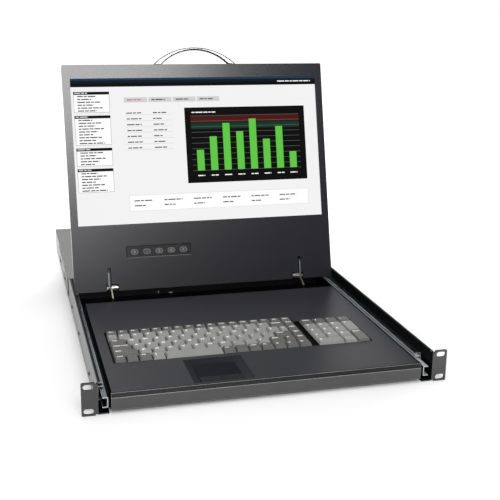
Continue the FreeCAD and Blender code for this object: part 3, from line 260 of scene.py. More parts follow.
coats = {
    # name: lighter and darker tone, roughness, width of the orange peel in mm and its relief, gleam
    "blackPowderCoat": ("#1E1E20", "#171719", 0.28, 0.7, 0.12, 0.9),  # rails, housing: black, with a sheen
    "innerPowderCoat": ("#080909", "#050606", 0.5, 0.7, 0.2, 0.05),  # shaded copy of the black coat, painted shade: near black, no sheen, on inner walls, the key well, the rails' inward and upward faces, recess lines and hole discs
    "deckPowderCoat": ("#28282F", "#222228", 0.46, 0.6, 0.12, 0.45),  # deck: soft bluish grey in the light
    "lipPowderCoat": ("#2A2A2B", "#232324", 0.13, 0.6, 0.03, 1.0),  # front lip: mirrors the floor
    "lipBendCoat": ("#9E9E9C", "#8C8C8A", 0.3, 0.6, 0.02, 0.6),  # painted highlight: the lip's bends painted pale, a thin line standing in for the light caught along the edge
    "lidPowderCoat": ("#1D1D25", "#17171D", 0.22, 0.9, 0.04, 0.8),  # lid: blue-black, paler towards its foot
    "coverPowderCoat": ("#2A2A27", "#242421", 0.42, 0.6, 0.15, 0.4),  # rear cover: warmer and duller
}
for name, settings in coats.items():
    materials[name] = paintedSteel(name, *settings)


def bareMetal(name, colour, roughness, width, length, metallic=1.0):
    # plated or polished metal: tone and gloss vary in spots, or in streaks along Y where they are drawn out
    material, tree, place = startMaterial(name)
    drawn = addNode(tree, "ShaderNodeMapping", {
        "Vector": place, "Scale": (1, width / length, 1)}).outputs["Vector"]
    spots = addNode(tree, "ShaderNodeTexNoise", {
        "Vector": drawn, "Scale": 1 / (width * mm), "Detail": 3.0}).outputs["Fac"]
    tone = addNode(tree, "ShaderNodeMapRange", {
        "Value": spots, "To Min": 0.86, "To Max": 1.1}).outputs["Result"]
    shade = addNode(tree, "ShaderNodeHueSaturation", {
        "Color": linear(colour), "Value": tone}).outputs["Color"]
    gloss = addNode(tree, "ShaderNodeMapRange", {
        "Value": spots, **noiseSpan, "To Min": roughness * 0.75, "To Max": roughness * 1.3}).outputs["Result"]
    closeMaterial(tree, {"Base Color": shade, "Roughness": gloss, "Metallic": metallic})
    return material


metals = {
    # name: colour, roughness, width and length of the spots in mm, metallic
    "zincPlate": ("#7E858C", 0.3, 0.6, 20.0),  # slides: bluish grey, with streaks along the rolled strip
    "zincBend": ("#DDE4E8", 0.45, 0.6, 20.0, 0.6),  # painted highlight: the slides' and hinge leaves' bends, and the right slides' upward faces, painted as a bright line down each race
    "pressedSteel": ("#8C8F92", 0.35, 0.8, 8.0),  # ball cages: plain grey steel
    "nickelPlate": ("#CFC9BC", 0.2, 1.2, 1.2),  # hinge arms, pins and screws: bright and slightly warm
    "blackedSteel": ("#2A2A2C", 0.35, 1.0, 1.0),  # screws on the rails: dark, with glints on the rims
    "chromePlate": ("#E2E2E0", 0.25, 6.0, 6.0, 0.5),  # lit copy of the chrome, a painted highlight: the handle's front and back painted pale and bright all along the bow
    "chromeSide": ("#1C1814", 0.6, 3.0, 3.0, 0.1),  # shaded copy of the chrome, a painted reflection of the dark room: the handle's sides painted dark as an outline round the bright front
    "tinPlate": ("#9A9C9E", 0.4, 1.5, 1.5),  # shielding cans and socket shells: dull and even
    "goldPlate": ("#D9B25A", 0.25, 1.0, 1.0),  # socket contacts: small yellow glints
}
for name, settings in metals.items():
    materials[name] = bareMetal(name, *settings)


def mouldedPlastic(name, colour, roughness, grain, relief, gleam=0.5):
    # ABS from a spark-eroded mould, whose grain dulls it evenly; the real grain of about 0.1 mm is too fine
    # to show, so it is drawn coarser
    material, tree, place = startMaterial(name)
    texture = addNode(tree, "ShaderNodeTexNoise", {
        "Vector": place, "Scale": 1 / (grain * mm), "Detail": 3.0}).outputs["Fac"]
    handling = addNode(tree, "ShaderNodeTexNoise", {
        "Vector": place, "Scale": 1 / (patterns["handling"] * mm), "Detail": 2.0}).outputs["Fac"]
    tone = addNode(tree, "ShaderNodeMapRange", {
        "Value": handling, "To Min": 0.88, "To Max": 1.12}).outputs["Result"]
    shade = addNode(tree, "ShaderNodeHueSaturation", {
        "Color": linear(colour), "Value": tone}).outputs["Color"]
    gloss = addNode(tree, "ShaderNodeMapRange", {
        "Value": texture, **noiseSpan,
        "To Min": roughness - 0.06, "To Max": roughness + 0.08}).outputs["Result"]
    bumps = addNode(tree, "ShaderNodeBump", {
        "Height": texture, "Strength": relief, "Distance": patterns["mouldRelief"] * mm}).outputs["Normal"]
    closeMaterial(tree, {
        "Base Color": shade, "Roughness": gloss, "Normal": bumps, "Specular IOR Level": gleam})
    return material


plastics = {
    # name: colour, roughness, grain in mm and its relief, gleam
    "paleKeyAbs": ("#8F8F8D", 0.5, 0.35, 0.3),  # letter keys: pale grey, dry to the eye
    "darkKeyAbs": ("#605F5D", 0.5, 0.35, 0.3),  # function and control keys
    "oliveKeyAbs": ("#66675A", 0.5, 0.35, 0.3),  # the number pad's enter key: greenish grey
    "blackAbs": ("#141416", 0.45, 0.4, 0.3),  # power inlet and socket inserts
    "dishAbs": ("#1C1C24", 0.5, 0.4, 0.3, 0.2),  # frame and buttons of the touchpad: blue-black and dull
    "padAbs": ("#14141D", 0.5, 0.25, 0.2, 0.08),  # touchpad: darker than its frame, with hardly a sheen
    "buttonAbs": ("#2C2C2E", 0.5, 0.3, 0.4),  # buttons under the screen
    "polishedAbs": ("#101013", 0.25, 0.5, 0.05),  # their plate: polished, so it mirrors the deck
    "whitePrint": ("#F2F2F0", 0.55, 0.5, 0.05),  # printed words, crisp white; the same white paints the two glints on the housing's front wall
    "greyPrint": ("#A2A2A0", 0.55, 0.5, 0.05),  # printed signs and rings on the buttons
    "dimPrint": ("#6C6C6B", 0.55, 0.5, 0.05),  # painted highlight: the pale line along the foot of the button plate's recess
    "solderMask": ("#123D22", 0.35, 0.5, 0.1),  # circuit boards: glossy dark green lacquer
}
for name, settings in plastics.items():
    materials[name] = mouldedPlastic(name, *settings)


def litInk(name, colour):
    # a patch of the screen's picture: it shines by itself under a matt polariser, a little unevenly
    material, tree, place = startMaterial(name)
    cloud = addNode(tree, "ShaderNodeTexNoise", {
        "Vector": place, "Scale": 1 / (patterns["screenCloud"] * mm)}).outputs["Fac"]
    tone = addNode(tree, "ShaderNodeMapRange", {
        "Value": cloud, "To Min": 0.97, "To Max": 1.01}).outputs["Result"]
    shade = addNode(tree, "ShaderNodeHueSaturation", {
        "Color": linear(colour), "Value": tone}).outputs["Color"]
    closeMaterial(tree, {
        "Emission Color": shade, "Emission Strength": 1.0,
        "Base Color": linear("#050505"), "Roughness": 0.5, "Specular IOR Level": 0.03})
    return material


screenInks = {
    "pageWhite": "#F3F3F3", "cardWhite": "#FFFFFF", "inkBlue": "#1D3A54", "inkNavy": "#0C1826",
    "inkBlack": "#060606", "inkText": "#3E3E3E", "inkGrey": "#7A7A7A", "inkPale": "#D2D2D2",
    "inkGreen": "#5EC943", "inkRed": "#4A1512", "inkTeal": "#123526", "inkScarlet": "#D8665A",
}
for name, colour in screenInks.items():
    materials[name] = litInk(name, colour)
print(len(materials), "materials")

meshing = {
    "weld": 0.002,  # mm; corners nearer than this are one
    "flat": 1.0, "sharp": 32.0, "smooth": 35.0,  # degrees between faces: merged, broken, shaded round
    "bentShare": 0.001,  # how much a broken edge counts in the shading of the flats beside it
}


def mergedCopy(name):
    # a closed mesh of few flat faces from a node's loose triangles
    bm = bmesh.new()
    bm.from_mesh(nodes[name].data)
    bmesh.ops.remove_doubles(bm, verts=bm.verts, dist=meshing["weld"] * mm)
    bmesh.ops.dissolve_limit(bm, angle_limit=math.radians(meshing["flat"]), verts=bm.verts, edges=bm.edges)
    bmesh.ops.triangulate(bm, faces=[f for f in bm.faces if len(f.verts) > 4])
    bm.faces.layers.int.new("bent")
    return bm


def rollEdges(bm, edges, width, segments):
    rolled = bmesh.ops.bevel(bm, geom=edges, offset=width, affect="EDGES", segments=segments, profile=0.5,
                             material=-1, clamp_overlap=True)["faces"]
    bent = bm.faces.layers.int["bent"]
    for f in rolled:
        f[bent] = 1


def breakEdges(bm, width, segments):
    limit = math.radians(meshing["sharp"])
    rollEdges(bm, [e for e in bm.edges if e.is_manifold and e.calc_face_angle(0) > limit], width, segments)


def cornerNormals(bm, angle):
    # every corner leans on its large neighbours, so flats stay flat and broken edges roll between them
    bent = bm.faces.layers.int.get("bent")
    limit = math.cos(math.radians(angle))
    weight = {f: f.calc_area() * (meshing["bentShare"] if bent and f[bent] else 1.0) for f in bm.faces}
    normals = []
    for f in bm.faces:
        for loop in f.loops:
            total = Vector()
            for near in loop.vert.link_faces:
                if near.normal.dot(f.normal) > limit:
                    total += near.normal * weight[near]
            normals.append(total.normalized() if total.length_squared > 0 else f.normal.copy())
    return normals


def newPiece(name, bm, node, finishes, smoothAngle=meshing["smooth"]):
    # turns a finished bmesh into a piece that rides with a node's body
    mesh = bpy.data.meshes.new(name)
    bm.normal_update()
    normals = cornerNormals(bm, smoothAngle)
    bm.to_mesh(mesh)
    bm.free()
    if "bent" in mesh.attributes:
        mesh.attributes.remove(mesh.attributes["bent"])
    for finish in finishes:
        mesh.materials.append(materials[finish])
    mesh.shade_smooth()
    mesh.normals_split_custom_set(normals)
    piece = addObject(name, mesh)
    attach(piece, bodyOf[node])
    return piece


def extent(points):
    # lowest and highest corner of the box round some points
    return [Vector([pick(p[k] for p in points) for k in range(3)]) for pick in (min, max)]


def islands(bm):
    # the connected groups of vertices
    found = []
    seen = set()
    for start in bm.verts:
        if start in seen:
            continue
        seen.add(start)
        group = [start]
        for vert in group:  # the group grows while the loop runs
            for edge in vert.link_edges:
                other = edge.other_vert(vert)
                if other not in seen:
                    seen.add(other)
                    group.append(other)
        found.append(group)
    return found


def lidAxes():
    # the glass's lower left corner, and the ways across, up and out of the lid; rounding to a micrometre
    # takes the corners of one edge as level
    corners = [v.co for v in nodes["lcd_screen"].data.vertices]
    low = min(corners, key=lambda c: (round(c.y, 6), c.x))
    high = max(corners, key=lambda c: (round(c.z, 6), -c.x))
    across = Vector((1, 0, 0))
    up = (high - low).normalized()
    return low, across, up, across.cross(up)


glassCorner, lidAcross, lidUp, lidOut = lidAxes()

dressed = {
    # node: (finish, width of its broken edges in mm, segments)
    "left_rail": ("blackPowderCoat", 0.25, 2),
    "right_rail": ("blackPowderCoat", 0.25, 2),
    "rear_cover": ("coverPowderCoat", 0.2, 1),
    "rear_tie_bar": ("blackPowderCoat", 0.2, 1),
    "rear_bracket_left": ("blackPowderCoat", 0.2, 1),
    "rear_bracket_right": ("blackPowderCoat", 0.2, 1),
    "drawer_tray": ("innerPowderCoat", 0.2, 1),
    "front_lip": ("lipPowderCoat", 0.9, 4),
    "deck_cover": ("deckPowderCoat", 0.5, 3),
    "rear_housing": ("blackPowderCoat", 0.2, 1),
    "rear_panel": ("blackPowderCoat", 0.15, 1),
    "lid_bezel": ("lidPowderCoat", 0.4, 3),
    "lid_back_cover": ("blackPowderCoat", 0.4, 2),
    "lid_handle": ("chromeSide", 1.9, 5),
    "hinge_arm_left": ("nickelPlate", 0.25, 2),
    "hinge_arm_right": ("nickelPlate", 0.25, 2),
    "hinge_leaf_left": ("zincPlate", 0.2, 1),
    "hinge_leaf_right": ("zincPlate", 0.2, 1),
    "hinge_pins": ("nickelPlate", 0.35, 2),
    "osd_plate": ("polishedAbs", 0.4, 3),
    "touchpad_frame": ("dishAbs", 0.3, 2),
    "touchpad": ("padAbs", 0.3, 2),
    "touch_button_left": ("dishAbs", 0.4, 2),
    "touch_button_right": ("dishAbs", 0.4, 2),
    "keyboard_frame": ("innerPowderCoat", 0.2, 1),
    "power_inlet": ("blackAbs", 0.2, 2),
}
for side in ("left", "right"):
    for member in ("outer", "middle", "inner"):
        dressed[f"slide_{member}_{side}"] = ("zincPlate", 0.4, 2)
bendHighlights = {"zincPlate": "zincBend", "lipPowderCoat": "lipBendCoat"}  # painted highlights: these finishes take a paler copy on their bent edges, standing in for light caught there
# painted light and shade: faces that look a given way take a lit or shaded copy of the finish
facingLightAndShade = {
    # node: (second finish, the ways that its faces look, the least cosine that counts)
    # painted shade: the rails' inward and upward faces take the shaded black coat
    "left_rail": ("innerPowderCoat", ((1, 0, 0), (0, 0, 1)), 0.9),
    "right_rail": ("innerPowderCoat", ((-1, 0, 0), (0, 0, 1)), 0.9),
    # painted light and shade: the handle's front and back take the lit copy of its chrome, its sides the
    # shaded copy
    "lid_handle": ("chromePlate", (lidOut, -lidOut), 0.99),
    # painted highlight: the right slides' upward faces take the bright zinc
    "slide_inner_right": ("zincBend", ((0, 0, 1),), 0.9),
    "slide_middle_right": ("zincBend", ((0, 0, 1),), 0.9),
}
pieceNames = {
    "lid_bezel": "lidFace", "deck_cover": "deckPanel", "front_lip": "frontEdge", "lid_handle": "carryHandle",
}


# painted highlight: broken edges take the finish's pale copy
def paintBendHighlights(bm):
    # the layer holds 1 on broken edges and 0 elsewhere
    bent = bm.faces.layers.int["bent"]
    for f in bm.faces:
        f.material_index = f[bent]


def paintByFacing(bm, ways, share):
    bm.normal_update()
    for f in bm.faces:
        if any(f.normal.dot(Vector(way)) > share for way in ways):
            f.material_index = 1


def dressNode(name, finish, width, segments):
    # a copy with broken edges stands for the node; its second finish, if it has one, has index 1
    bm = mergedCopy(name)
    breakEdges(bm, width * mm, segments)
    finishes = [finish]
    if finish in bendHighlights:
        paintBendHighlights(bm)
        finishes.append(bendHighlights[finish])
    if name in facingLightAndShade:
        second, ways, share = facingLightAndShade[name]
        paintByFacing(bm, ways, share)
        if second not in finishes:
            finishes.append(second)
    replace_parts(newPiece(pieceNames.get(name, name + "_dressed"), bm, name, finishes), name)


for name, (finish, width, segments) in dressed.items():
    dressNode(name, finish, width, segments)

plainFinish = {
    # nodes whose own shape is right
    "keyboard_board": "solderMask", "main_board": "solderMask", "osd_board": "solderMask",
    "power_supply": "tinPlate", "lcd_module": "tinPlate", "lcd_screen": "pageWhite",
    "ball_cage_outer_left": "pressedSteel", "ball_cage_outer_right": "pressedSteel",
    "ball_cage_inner_left": "pressedSteel", "ball_cage_inner_right": "pressedSteel",
    "drawer_screws": "nickelPlate", "lid_screws": "nickelPlate",
}
for name, finish in plainFinish.items():
    mesh = nodes[name].data
    mesh.materials.clear()
    mesh.materials.append(materials[finish])
print(len(dressed), "nodes dressed")

keyGroups = {
    "function_keys": "darkKeyAbs", "digit_keys": "paleKeyAbs", "top_letter_keys": "paleKeyAbs",
    "home_letter_keys": "paleKeyAbs", "low_letter_keys": "paleKeyAbs", "space_bar": "paleKeyAbs",
    "modifier_keys": "darkKeyAbs", "navigation_keys": "darkKeyAbs", "number_pad_keys": "paleKeyAbs",
}
legendRows = {
    # from the front row back, left to right; a blank stays bare
    "function_keys": ["Esc F1 F2 F3 F4 F5 F6 F7 F8 F9 F10 F11 F12 Num Prt Scr Brk".split()],
    "digit_keys": ["` 1 2 3 4 5 6 7 8 9 0 - =".split()],
    "top_letter_keys": ["Q W E R T Y U I O P [ ] \\".split()],
    "home_letter_keys": ["A S D F G H J K L ; '".split()],
    "low_letter_keys": ["Z X C V B N M , . /".split()],
    "space_bar": [[""]],
    "modifier_keys": [["Ctrl", "", "Alt", "|", "Alt", "", "Ctrl", "Fn"], ["Shift", "Shift"],
                      ["Caps Lock", "Enter"], ["Tab"], ["Backspace"]],
    "navigation_keys": [["<", "v", ">"], ["^", "End"], ["PgDn"], ["PgUp"], ["Home"]],
    "number_pad_keys": [["0", "."], ["Enter"], ["1", "2", "3"], ["4", "5", "6"], ["+"], ["7", "8", "9"],
                        ["Num", "/", "*", "-"]],
}
keyTints = {
    # (group, place in the legend rows): finish where it differs from the group's
    ("modifier_keys", 3): "paleKeyAbs", ("number_pad_keys", 2): "oliveKeyAbs",
    ("number_pad_keys", 13): "darkKeyAbs", ("number_pad_keys", 14): "darkKeyAbs",
    ("number_pad_keys", 15): "darkKeyAbs", ("number_pad_keys", 16): "darkKeyAbs",
}
keycap = {
    "edge": 0.45, "edgeSegments": 3, "dishInset": 1.3, "dishDepth": 0.28,  # mm
    "flatness": 0.1, "rowStep": 2.0,  # mm; what counts as level with a top, and as one row
    "faceUp": 0.9, "rimAngle": 0.3, "cornerAngle": 0.7,  # cosine, then radians between faces
    "smooth": 50.0,  # degrees
}
legend = {
    # mm; a single sign is taller and bolder than a word
    "sign": {"height": 7.0, "stroke": 0.35}, "word": {"height": 4.6, "stroke": 0.24},
    "capitals": 0.7,  # share of the height
    "inset": 2.2, "lift": 0.03,
}


def topOf(group):
    # lowest and highest corner of one keycap's flat top
    level = max(v.co.z for v in group)
    return extent([v.co for v in group if v.co.z > level - keycap["flatness"] * mm])


def readingOrder(key):
    low, high, group = key
    return round((low.y + high.y) / (2 * keycap["rowStep"] * mm)), low.x


def tintKeys(name, keys, finishes):
    # gives single keys of a group another plastic
    for i, (low, high, group) in enumerate(keys):
        tint = keyTints.get((name, i))
        if tint is None:
            continue
        if tint not in finishes:
            finishes.append(tint)
        for f in {f for v in group for f in v.link_faces}:
            f.material_index = finishes.index(tint)


def shapeCaps(bm, level, setup):
    # sinks a shallow dish into each top, and rolls its rim and the corners that run down from it
    caps = [f for f in bm.faces if f.normal.z > setup["faceUp"] and f.calc_center_median().z > level]
    rim = dict.fromkeys(e for f in caps for e in f.edges if e.calc_face_angle(0) > setup["rimAngle"])
    corners = [e for e in bm.edges if e not in rim and e.calc_face_angle(0) > setup["cornerAngle"]
               and max(v.co.z for v in e.verts) > level and e.verts[0].co.z != e.verts[1].co.z]
    bmesh.ops.inset_individual(bm, faces=caps, thickness=setup["dishInset"] * mm)
    dish = list({v for f in caps for v in f.verts})
    bmesh.ops.translate(bm, verts=dish, vec=(0, 0, -setup["dishDepth"] * mm))
    edges = [e for e in [*rim, *corners] if e.is_valid]
    rollEdges(bm, edges, setup["edge"] * mm, setup["edgeSegments"])


def addLettering(bm, words, place, height, stroke, room=None):
    # flat lettering from its lower left corner, squeezed where it is longer than its room
    curve = bpy.data.curves.new("lettering", "FONT")
    curve.body = words
    curve.size = height
    curve.offset = stroke
    curve.resolution_u = 2
    holder = bpy.data.objects.new("lettering", curve)
    mesh = bpy.data.meshes.new_from_object(holder)
    length = max(v.co.x for v in mesh.vertices)
    if room and length > room:
        mesh.transform(Matrix.Diagonal((room / length, 1, 1, 1)))
    mesh.transform(place)
    bm.from_mesh(mesh)
    bpy.data.objects.remove(holder)
    bpy.data.curves.remove(curve)
    bpy.data.meshes.remove(mesh)


def printLegends(name, keys, setup):
    letters = bmesh.new()
    words = [word for row in legendRows[name] for word in row]
    inset = setup["inset"] * mm
    for (low, high, group), word in zip(keys, words):
        if not word:
            continue
        size = setup["sign" if len(word) == 1 else "word"]
        height = size["height"] * mm
        corner = (low.x + inset, high.y - inset - height * setup["capitals"],
                  high.z + (setup["lift"] - keycap["dishDepth"]) * mm)
        room = high.x - low.x - 2 * inset
        addLettering(letters, word, Matrix.Translation(corner), height, size["stroke"] * mm, room)
    if letters.verts:
        newPiece(name + "_legends", letters, name, ["whitePrint"])
    else:
        letters.free()


def makeKeys(name, finish):
    bm = mergedCopy(name)
    keys = sorted(((*topOf(group), group) for group in islands(bm)), key=readingOrder)
    finishes = [finish]
    tintKeys(name, keys, finishes)
    shapeCaps(bm, keys[0][1].z - keycap["flatness"] * mm, keycap)
    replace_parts(newPiece(name + "_caps", bm, name, finishes, keycap["smooth"]), name)
    printLegends(name, keys, legend)


for name, finish in keyGroups.items():
    makeKeys(name, finish)
print("keys made")

screenPage = {
    # mm on the glass, from the window's lower left corner
    "hidden": 3.0,  # how far the glass reaches behind the bezel
    "width": 409.8, "height": 235.0,
    "layer": 0.03,  # the picture's layers stand this far apart, so that none flickers through another
    "banner": {"height": 13.4, "navy": 7.37, "blue": 2.948, "indent": 343.8, "rise": 5.2, "length": 58.0},
    "menu": {"left": 4.0, "width": 57.0, "head": 4.2, "foot": 1.5, "indent": 6.0, "rise": 0.6,
             "title": (2.0, 1.3, 20.0),  # indent, rise and length
             "lengths": (30.0, 22.0, 36.0, 26.0, 40.0),
             "cards": ((214.0, 6), (176.0, 9), (124.0, 5), (91.0, 7))},  # top and rows of each
    "tabs": {"left": 84.0, "level": 196.0, "width": 38.0, "height": 8.0, "gap": 2.0, "count": 4,
             "word": (5.0, 3.2, 22.0)},  # indent, rise and length
    "table": {"left": 84.0, "top": 178.0, "rows": 7, "pitch": 9.4, "width": 78.0, "rule": 0.6, "drop": 2.6,
              "first": 3.0, "firstLength": 24.0, "second": 46.0, "secondLengths": (22.0, 14.0, 18.0)},
    "chart": {"left": 182.0, "low": 62.0, "width": 206.0, "height": 124.0,
              "foot": 20.0, "head": 14.0, "side": 10.0, "rules": 10, "rule": 0.35,
              "red": (0.12, 0.12), "teal": (0.24, 0.11),  # share of the span: depth below its top, and height
              "barSide": 12.0, "bar": 12.0, "label": 9.0, "title": 40.0,
              "fills": (0.38, 0.62, 0.86, 0.7, 0.93, 0.55, 0.78, 0.3)},
    "status": {"left": 84.0, "low": 20.0, "width": 304.0, "height": 26.0, "columns": 6, "pitch": 49.0,
               "indent": 8.0, "upper": (16.0, 30.0), "lower": (8.0, 18.0)},  # rise and length
}
smallType = {"height": 1.7, "pitch": 4.6, "space": 1.4, "words": (9.0, 5.0, 12.0, 7.0, 4.0, 10.0, 6.0)}  # mm
inks = {ink: bmesh.new() for ink in screenInks if ink != "pageWhite"}


def lidPlane():
    # places things on the lid: x across, y up the lid, z out of its face, from the window's lower left
    rim = screenPage["hidden"] * mm
    turn = Matrix((lidAcross, lidUp, lidOut)).transposed().to_4x4()
    return Matrix.Translation(glassCorner + lidAcross * rim + lidUp * rim) @ turn


def addPatch(bm, left, low, width, height, level, finish=0):
    # one flat rectangle, in mm
    made = bmesh.ops.create_grid(bm, x_segments=1, y_segments=1, size=0.5)["verts"]
    bmesh.ops.scale(bm, verts=made, vec=(width * mm, height * mm, 1))
    bmesh.ops.translate(bm, verts=made, vec=((left + width / 2) * mm, (low + height / 2) * mm, level * mm))
    made[0].link_faces[0].material_index = finish


def patch(ink, left, low, width, height, layer=1):
    addPatch(inks[ink], left, low, width, height, layer * screenPage["layer"])


def frameLine(ink, left, low, width, height, thick=0.5, layer=3):
    patch(ink, left, low, width, thick, layer)
    patch(ink, left, low + height - thick, width, thick, layer)
    patch(ink, left, low, thick, height, layer)
    patch(ink, left + width - thick, low, thick, height, layer)


def wordLine(ink, left, low, length, start, layer=3):
    # a row of short dashes that reads as small type
    words = smallType["words"]
    reach = 0.0
    while reach < length:
        word = min(words[start % len(words)], length - reach)
        patch(ink, left + reach, low, word, smallType["height"], layer)
        reach += word + smallType["space"]
        start += 1


def drawBanner(banner, width, top):
    patch("inkBlack", 0, top - banner["height"], width, banner["height"])
    patch("inkNavy", 0, top - banner["navy"], width, banner["navy"], 2)
    patch("inkBlue", 0, top - banner["blue"], width, banner["blue"], 3)
    wordLine("cardWhite", banner["indent"], top - banner["height"] + banner["rise"], banner["length"], 2)


def drawMenu(menu):
    left, width, head = (menu[key] for key in ("left", "width", "head"))
    indent, rise, length = menu["title"]
    for card, (top, rows) in enumerate(menu["cards"]):
        roof = top - head
        depth = rows * smallType["pitch"] + menu["foot"]
        patch("cardWhite", left, roof - depth, width, depth, 2)
        frameLine("inkGrey", left, roof - depth, width, depth)
        patch("inkBlack", left, roof, width, head, 2)
        wordLine("inkPale", left + indent, roof + rise, length, card)
        for row in range(rows):
            level = roof - (row + 1) * smallType["pitch"] + menu["rise"]
            rowLength = menu["lengths"][(row + card) % len(menu["lengths"])]
            wordLine("inkText", left + menu["indent"], level, rowLength, row + card)


def drawTabs(tabs):
    indent, rise, length = tabs["word"]
    for i in range(tabs["count"]):
        left = tabs["left"] + i * (tabs["width"] + tabs["gap"])
        patch("inkPale", left, tabs["level"], tabs["width"], tabs["height"])
        wordLine("inkScarlet" if i == 0 else "inkText", left + indent, tabs["level"] + rise, length, i)


def drawTable(table):
    left, lengths = table["left"], table["secondLengths"]
    for row in range(table["rows"]):
        level = table["top"] - row * table["pitch"]
        patch("inkPale", left, level - table["drop"], table["width"], table["rule"])
        wordLine("inkText", left + table["first"], level, table["firstLength"], row)
        wordLine("inkText", left + table["second"], level, lengths[row % len(lengths)], row + 3)


def drawChart(chart):
    left, low, width, height, side = (chart[key] for key in ("left", "low", "width", "height", "side"))
    patch("inkBlack", left, low, width, height)
    floor, roof = low + chart["foot"], low + height - chart["head"]
    span = roof - floor
    for ink, (depth, tall) in (("inkRed", chart["red"]), ("inkTeal", chart["teal"])):
        patch(ink, left + side, roof - span * depth, width - 2 * side, span * tall, 2)
    for i in range(chart["rules"] + 1):
        patch("inkGrey", left + side, floor + span * i / chart["rules"], width - 2 * side, chart["rule"], 3)
    step = (width - 2 * chart["barSide"]) / len(chart["fills"])
    for i, fill in enumerate(chart["fills"]):
        foot = left + chart["barSide"] + step * (i + 0.5) - chart["bar"] / 2
        patch("inkGreen", foot, floor, chart["bar"], span * fill, 4)
        wordLine("cardWhite", foot, floor - chart["label"], chart["bar"], i, 4)
    wordLine("cardWhite", left + chart["barSide"], low + height - chart["label"], chart["title"], 1, 4)


def drawStatus(status):
    left, low, width, height = (status[key] for key in ("left", "low", "width", "height"))
    patch("cardWhite", left, low, width, height, 2)
    frameLine("inkPale", left, low, width, height)
    for i in range(status["columns"]):
        for start, (rise, length) in ((i, status["upper"]), (i + 2, status["lower"])):
            wordLine("inkText", left + status["indent"] + i * status["pitch"], low + rise, length, start)


def makePicture(page):
    drawBanner(page["banner"], page["width"], page["height"])
    drawMenu(page["menu"])
    drawTabs(page["tabs"])
    drawTable(page["table"])
    drawChart(page["chart"])
    drawStatus(page["status"])
    for ink, bm in inks.items():
        bm.transform(onLid)
        newPiece("page_" + ink, bm, "lcd_screen", [ink])


onLid = lidPlane()
makePicture(screenPage)
print("picture drawn")

osdButton = {
    "edge": 0.35, "edgeSegments": 2, "ringInset": 1.0, "ringWidth": 0.45,  # mm
    "faceOut": 0.99,  # cosine that tells the face from the rolled edge
    "signs": {1: "=", 2: "-", 3: "o", 4: "<", 5: ">"}, "sign": 6.5, "stroke": 0.1, "lift": 0.04,  # mm
}


def makeButton(i, setup):
    # an oval cap with a printed ring and a sign
    name = f"osd_button_{i}"
    bm = mergedCopy(name)
    breakEdges(bm, setup["edge"] * mm, setup["edgeSegments"])
    face = [f for f in bm.faces if f.normal.dot(lidOut) > setup["faceOut"]]
    for width in (setup["ringInset"], setup["ringWidth"]):
        ring = bmesh.ops.inset_region(bm, faces=face, thickness=width * mm, use_even_offset=True)["faces"]
    for f in ring:
        f.material_index = 1
    low, high = extent([onLid.inverted() @ v.co for v in bm.verts])
    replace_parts(newPiece(name + "_cap", bm, name, ["buttonAbs", "greyPrint"]), name)
    sign = bmesh.new()
    addLettering(sign, setup["signs"][i], Matrix(), setup["sign"] * mm, setup["stroke"] * mm)
    signLow, signHigh = extent([v.co for v in sign.verts])
    shift = (low + high - signLow - signHigh) / 2
    shift.z = high.z + setup["lift"] * mm
    bmesh.ops.translate(sign, verts=sign.verts, vec=shift)
    sign.transform(onLid)
    newPiece(name + "_sign", sign, name, ["greyPrint"])


recessShading = {"line": 0.8, "proud": 0.02, "hidden": 3.0}  # mm


def paintRecessShading(setup):
    # painted shade and highlight for the recess that the button plate sits in: flat lines painted dark along
    # its top and left, and pale along its foot where its lower edge catches the light
    flat = onLid.inverted()
    low, high = extent([flat @ v.co / mm for v in nodes["osd_plate"].data.vertices])
    left, foot, right, roof = (low.x + setup["hidden"], low.y + setup["hidden"],
                               high.x - setup["hidden"], high.y - setup["hidden"])
    face = extent([flat @ v.co / mm for v in nodes["lid_bezel"].data.vertices])[1].z + setup["proud"]
    line = setup["line"]
    bm = bmesh.new()
    addPatch(bm, left, roof, right - left, line, face)
    addPatch(bm, left - line, foot, line, roof + line - foot, face)
    addPatch(bm, left, foot - line, right - left, line, face, 1)
    bm.transform(onLid)
    newPiece("osd_recess_shading", bm, "osd_plate", ["innerPowderCoat", "dimPrint"])


for i in osdButton["signs"]:
    makeButton(i, osdButton)
paintRecessShading(recessShading)

panScrew = {"segments": 24, "crown": 0.72, "socket": 0.42, "depth": 0.6}  # shares of its radius and height


def growRing(bm, ring, lift, spread=1.0):
    # extrudes a ring of edges into a wall and gives back the new ring
    made = bmesh.ops.extrude_edge_only(bm, edges=ring)["geom"]
    verts = [g for g in made if isinstance(g, bmesh.types.BMVert)]
    bmesh.ops.scale(bm, verts=verts, vec=(spread, spread, 1))
    bmesh.ops.translate(bm, verts=verts, vec=(0, 0, lift))
    return [g for g in made if isinstance(g, bmesh.types.BMEdge) and all(v in verts for v in g.verts)]


def screwHead(radius, height, setup):
    # a pan head with a hexagon socket, standing on z = 0
    bm = bmesh.new()
    bmesh.ops.create_circle(bm, segments=setup["segments"], radius=radius)
    wall = growRing(bm, bm.edges[:], height / 2)
    rim = growRing(bm, wall, height / 2, setup["crown"])
    made = bmesh.ops.create_circle(bm, segments=6, radius=radius * setup["socket"],
                                   matrix=Matrix.Translation((0, 0, height)))["verts"]
    mouth = list(dict.fromkeys(e for v in made for e in v.link_edges))
    bmesh.ops.bridge_loops(bm, edges=rim + mouth)
    growRing(bm, mouth, -height * setup["depth"])
    bmesh.ops.holes_fill(bm, edges=bm.edges[:], sides=0)
    bmesh.ops.recalc_face_normals(bm, faces=bm.faces[:])
    return bm


def addHead(heads, radius, height, place):
    head = screwHead(radius, height, panScrew)
    head.transform(place)
    mesh = bpy.data.meshes.new("head")
    head.to_mesh(mesh)
    head.free()
    heads.from_mesh(mesh)
    bpy.data.meshes.remove(mesh)


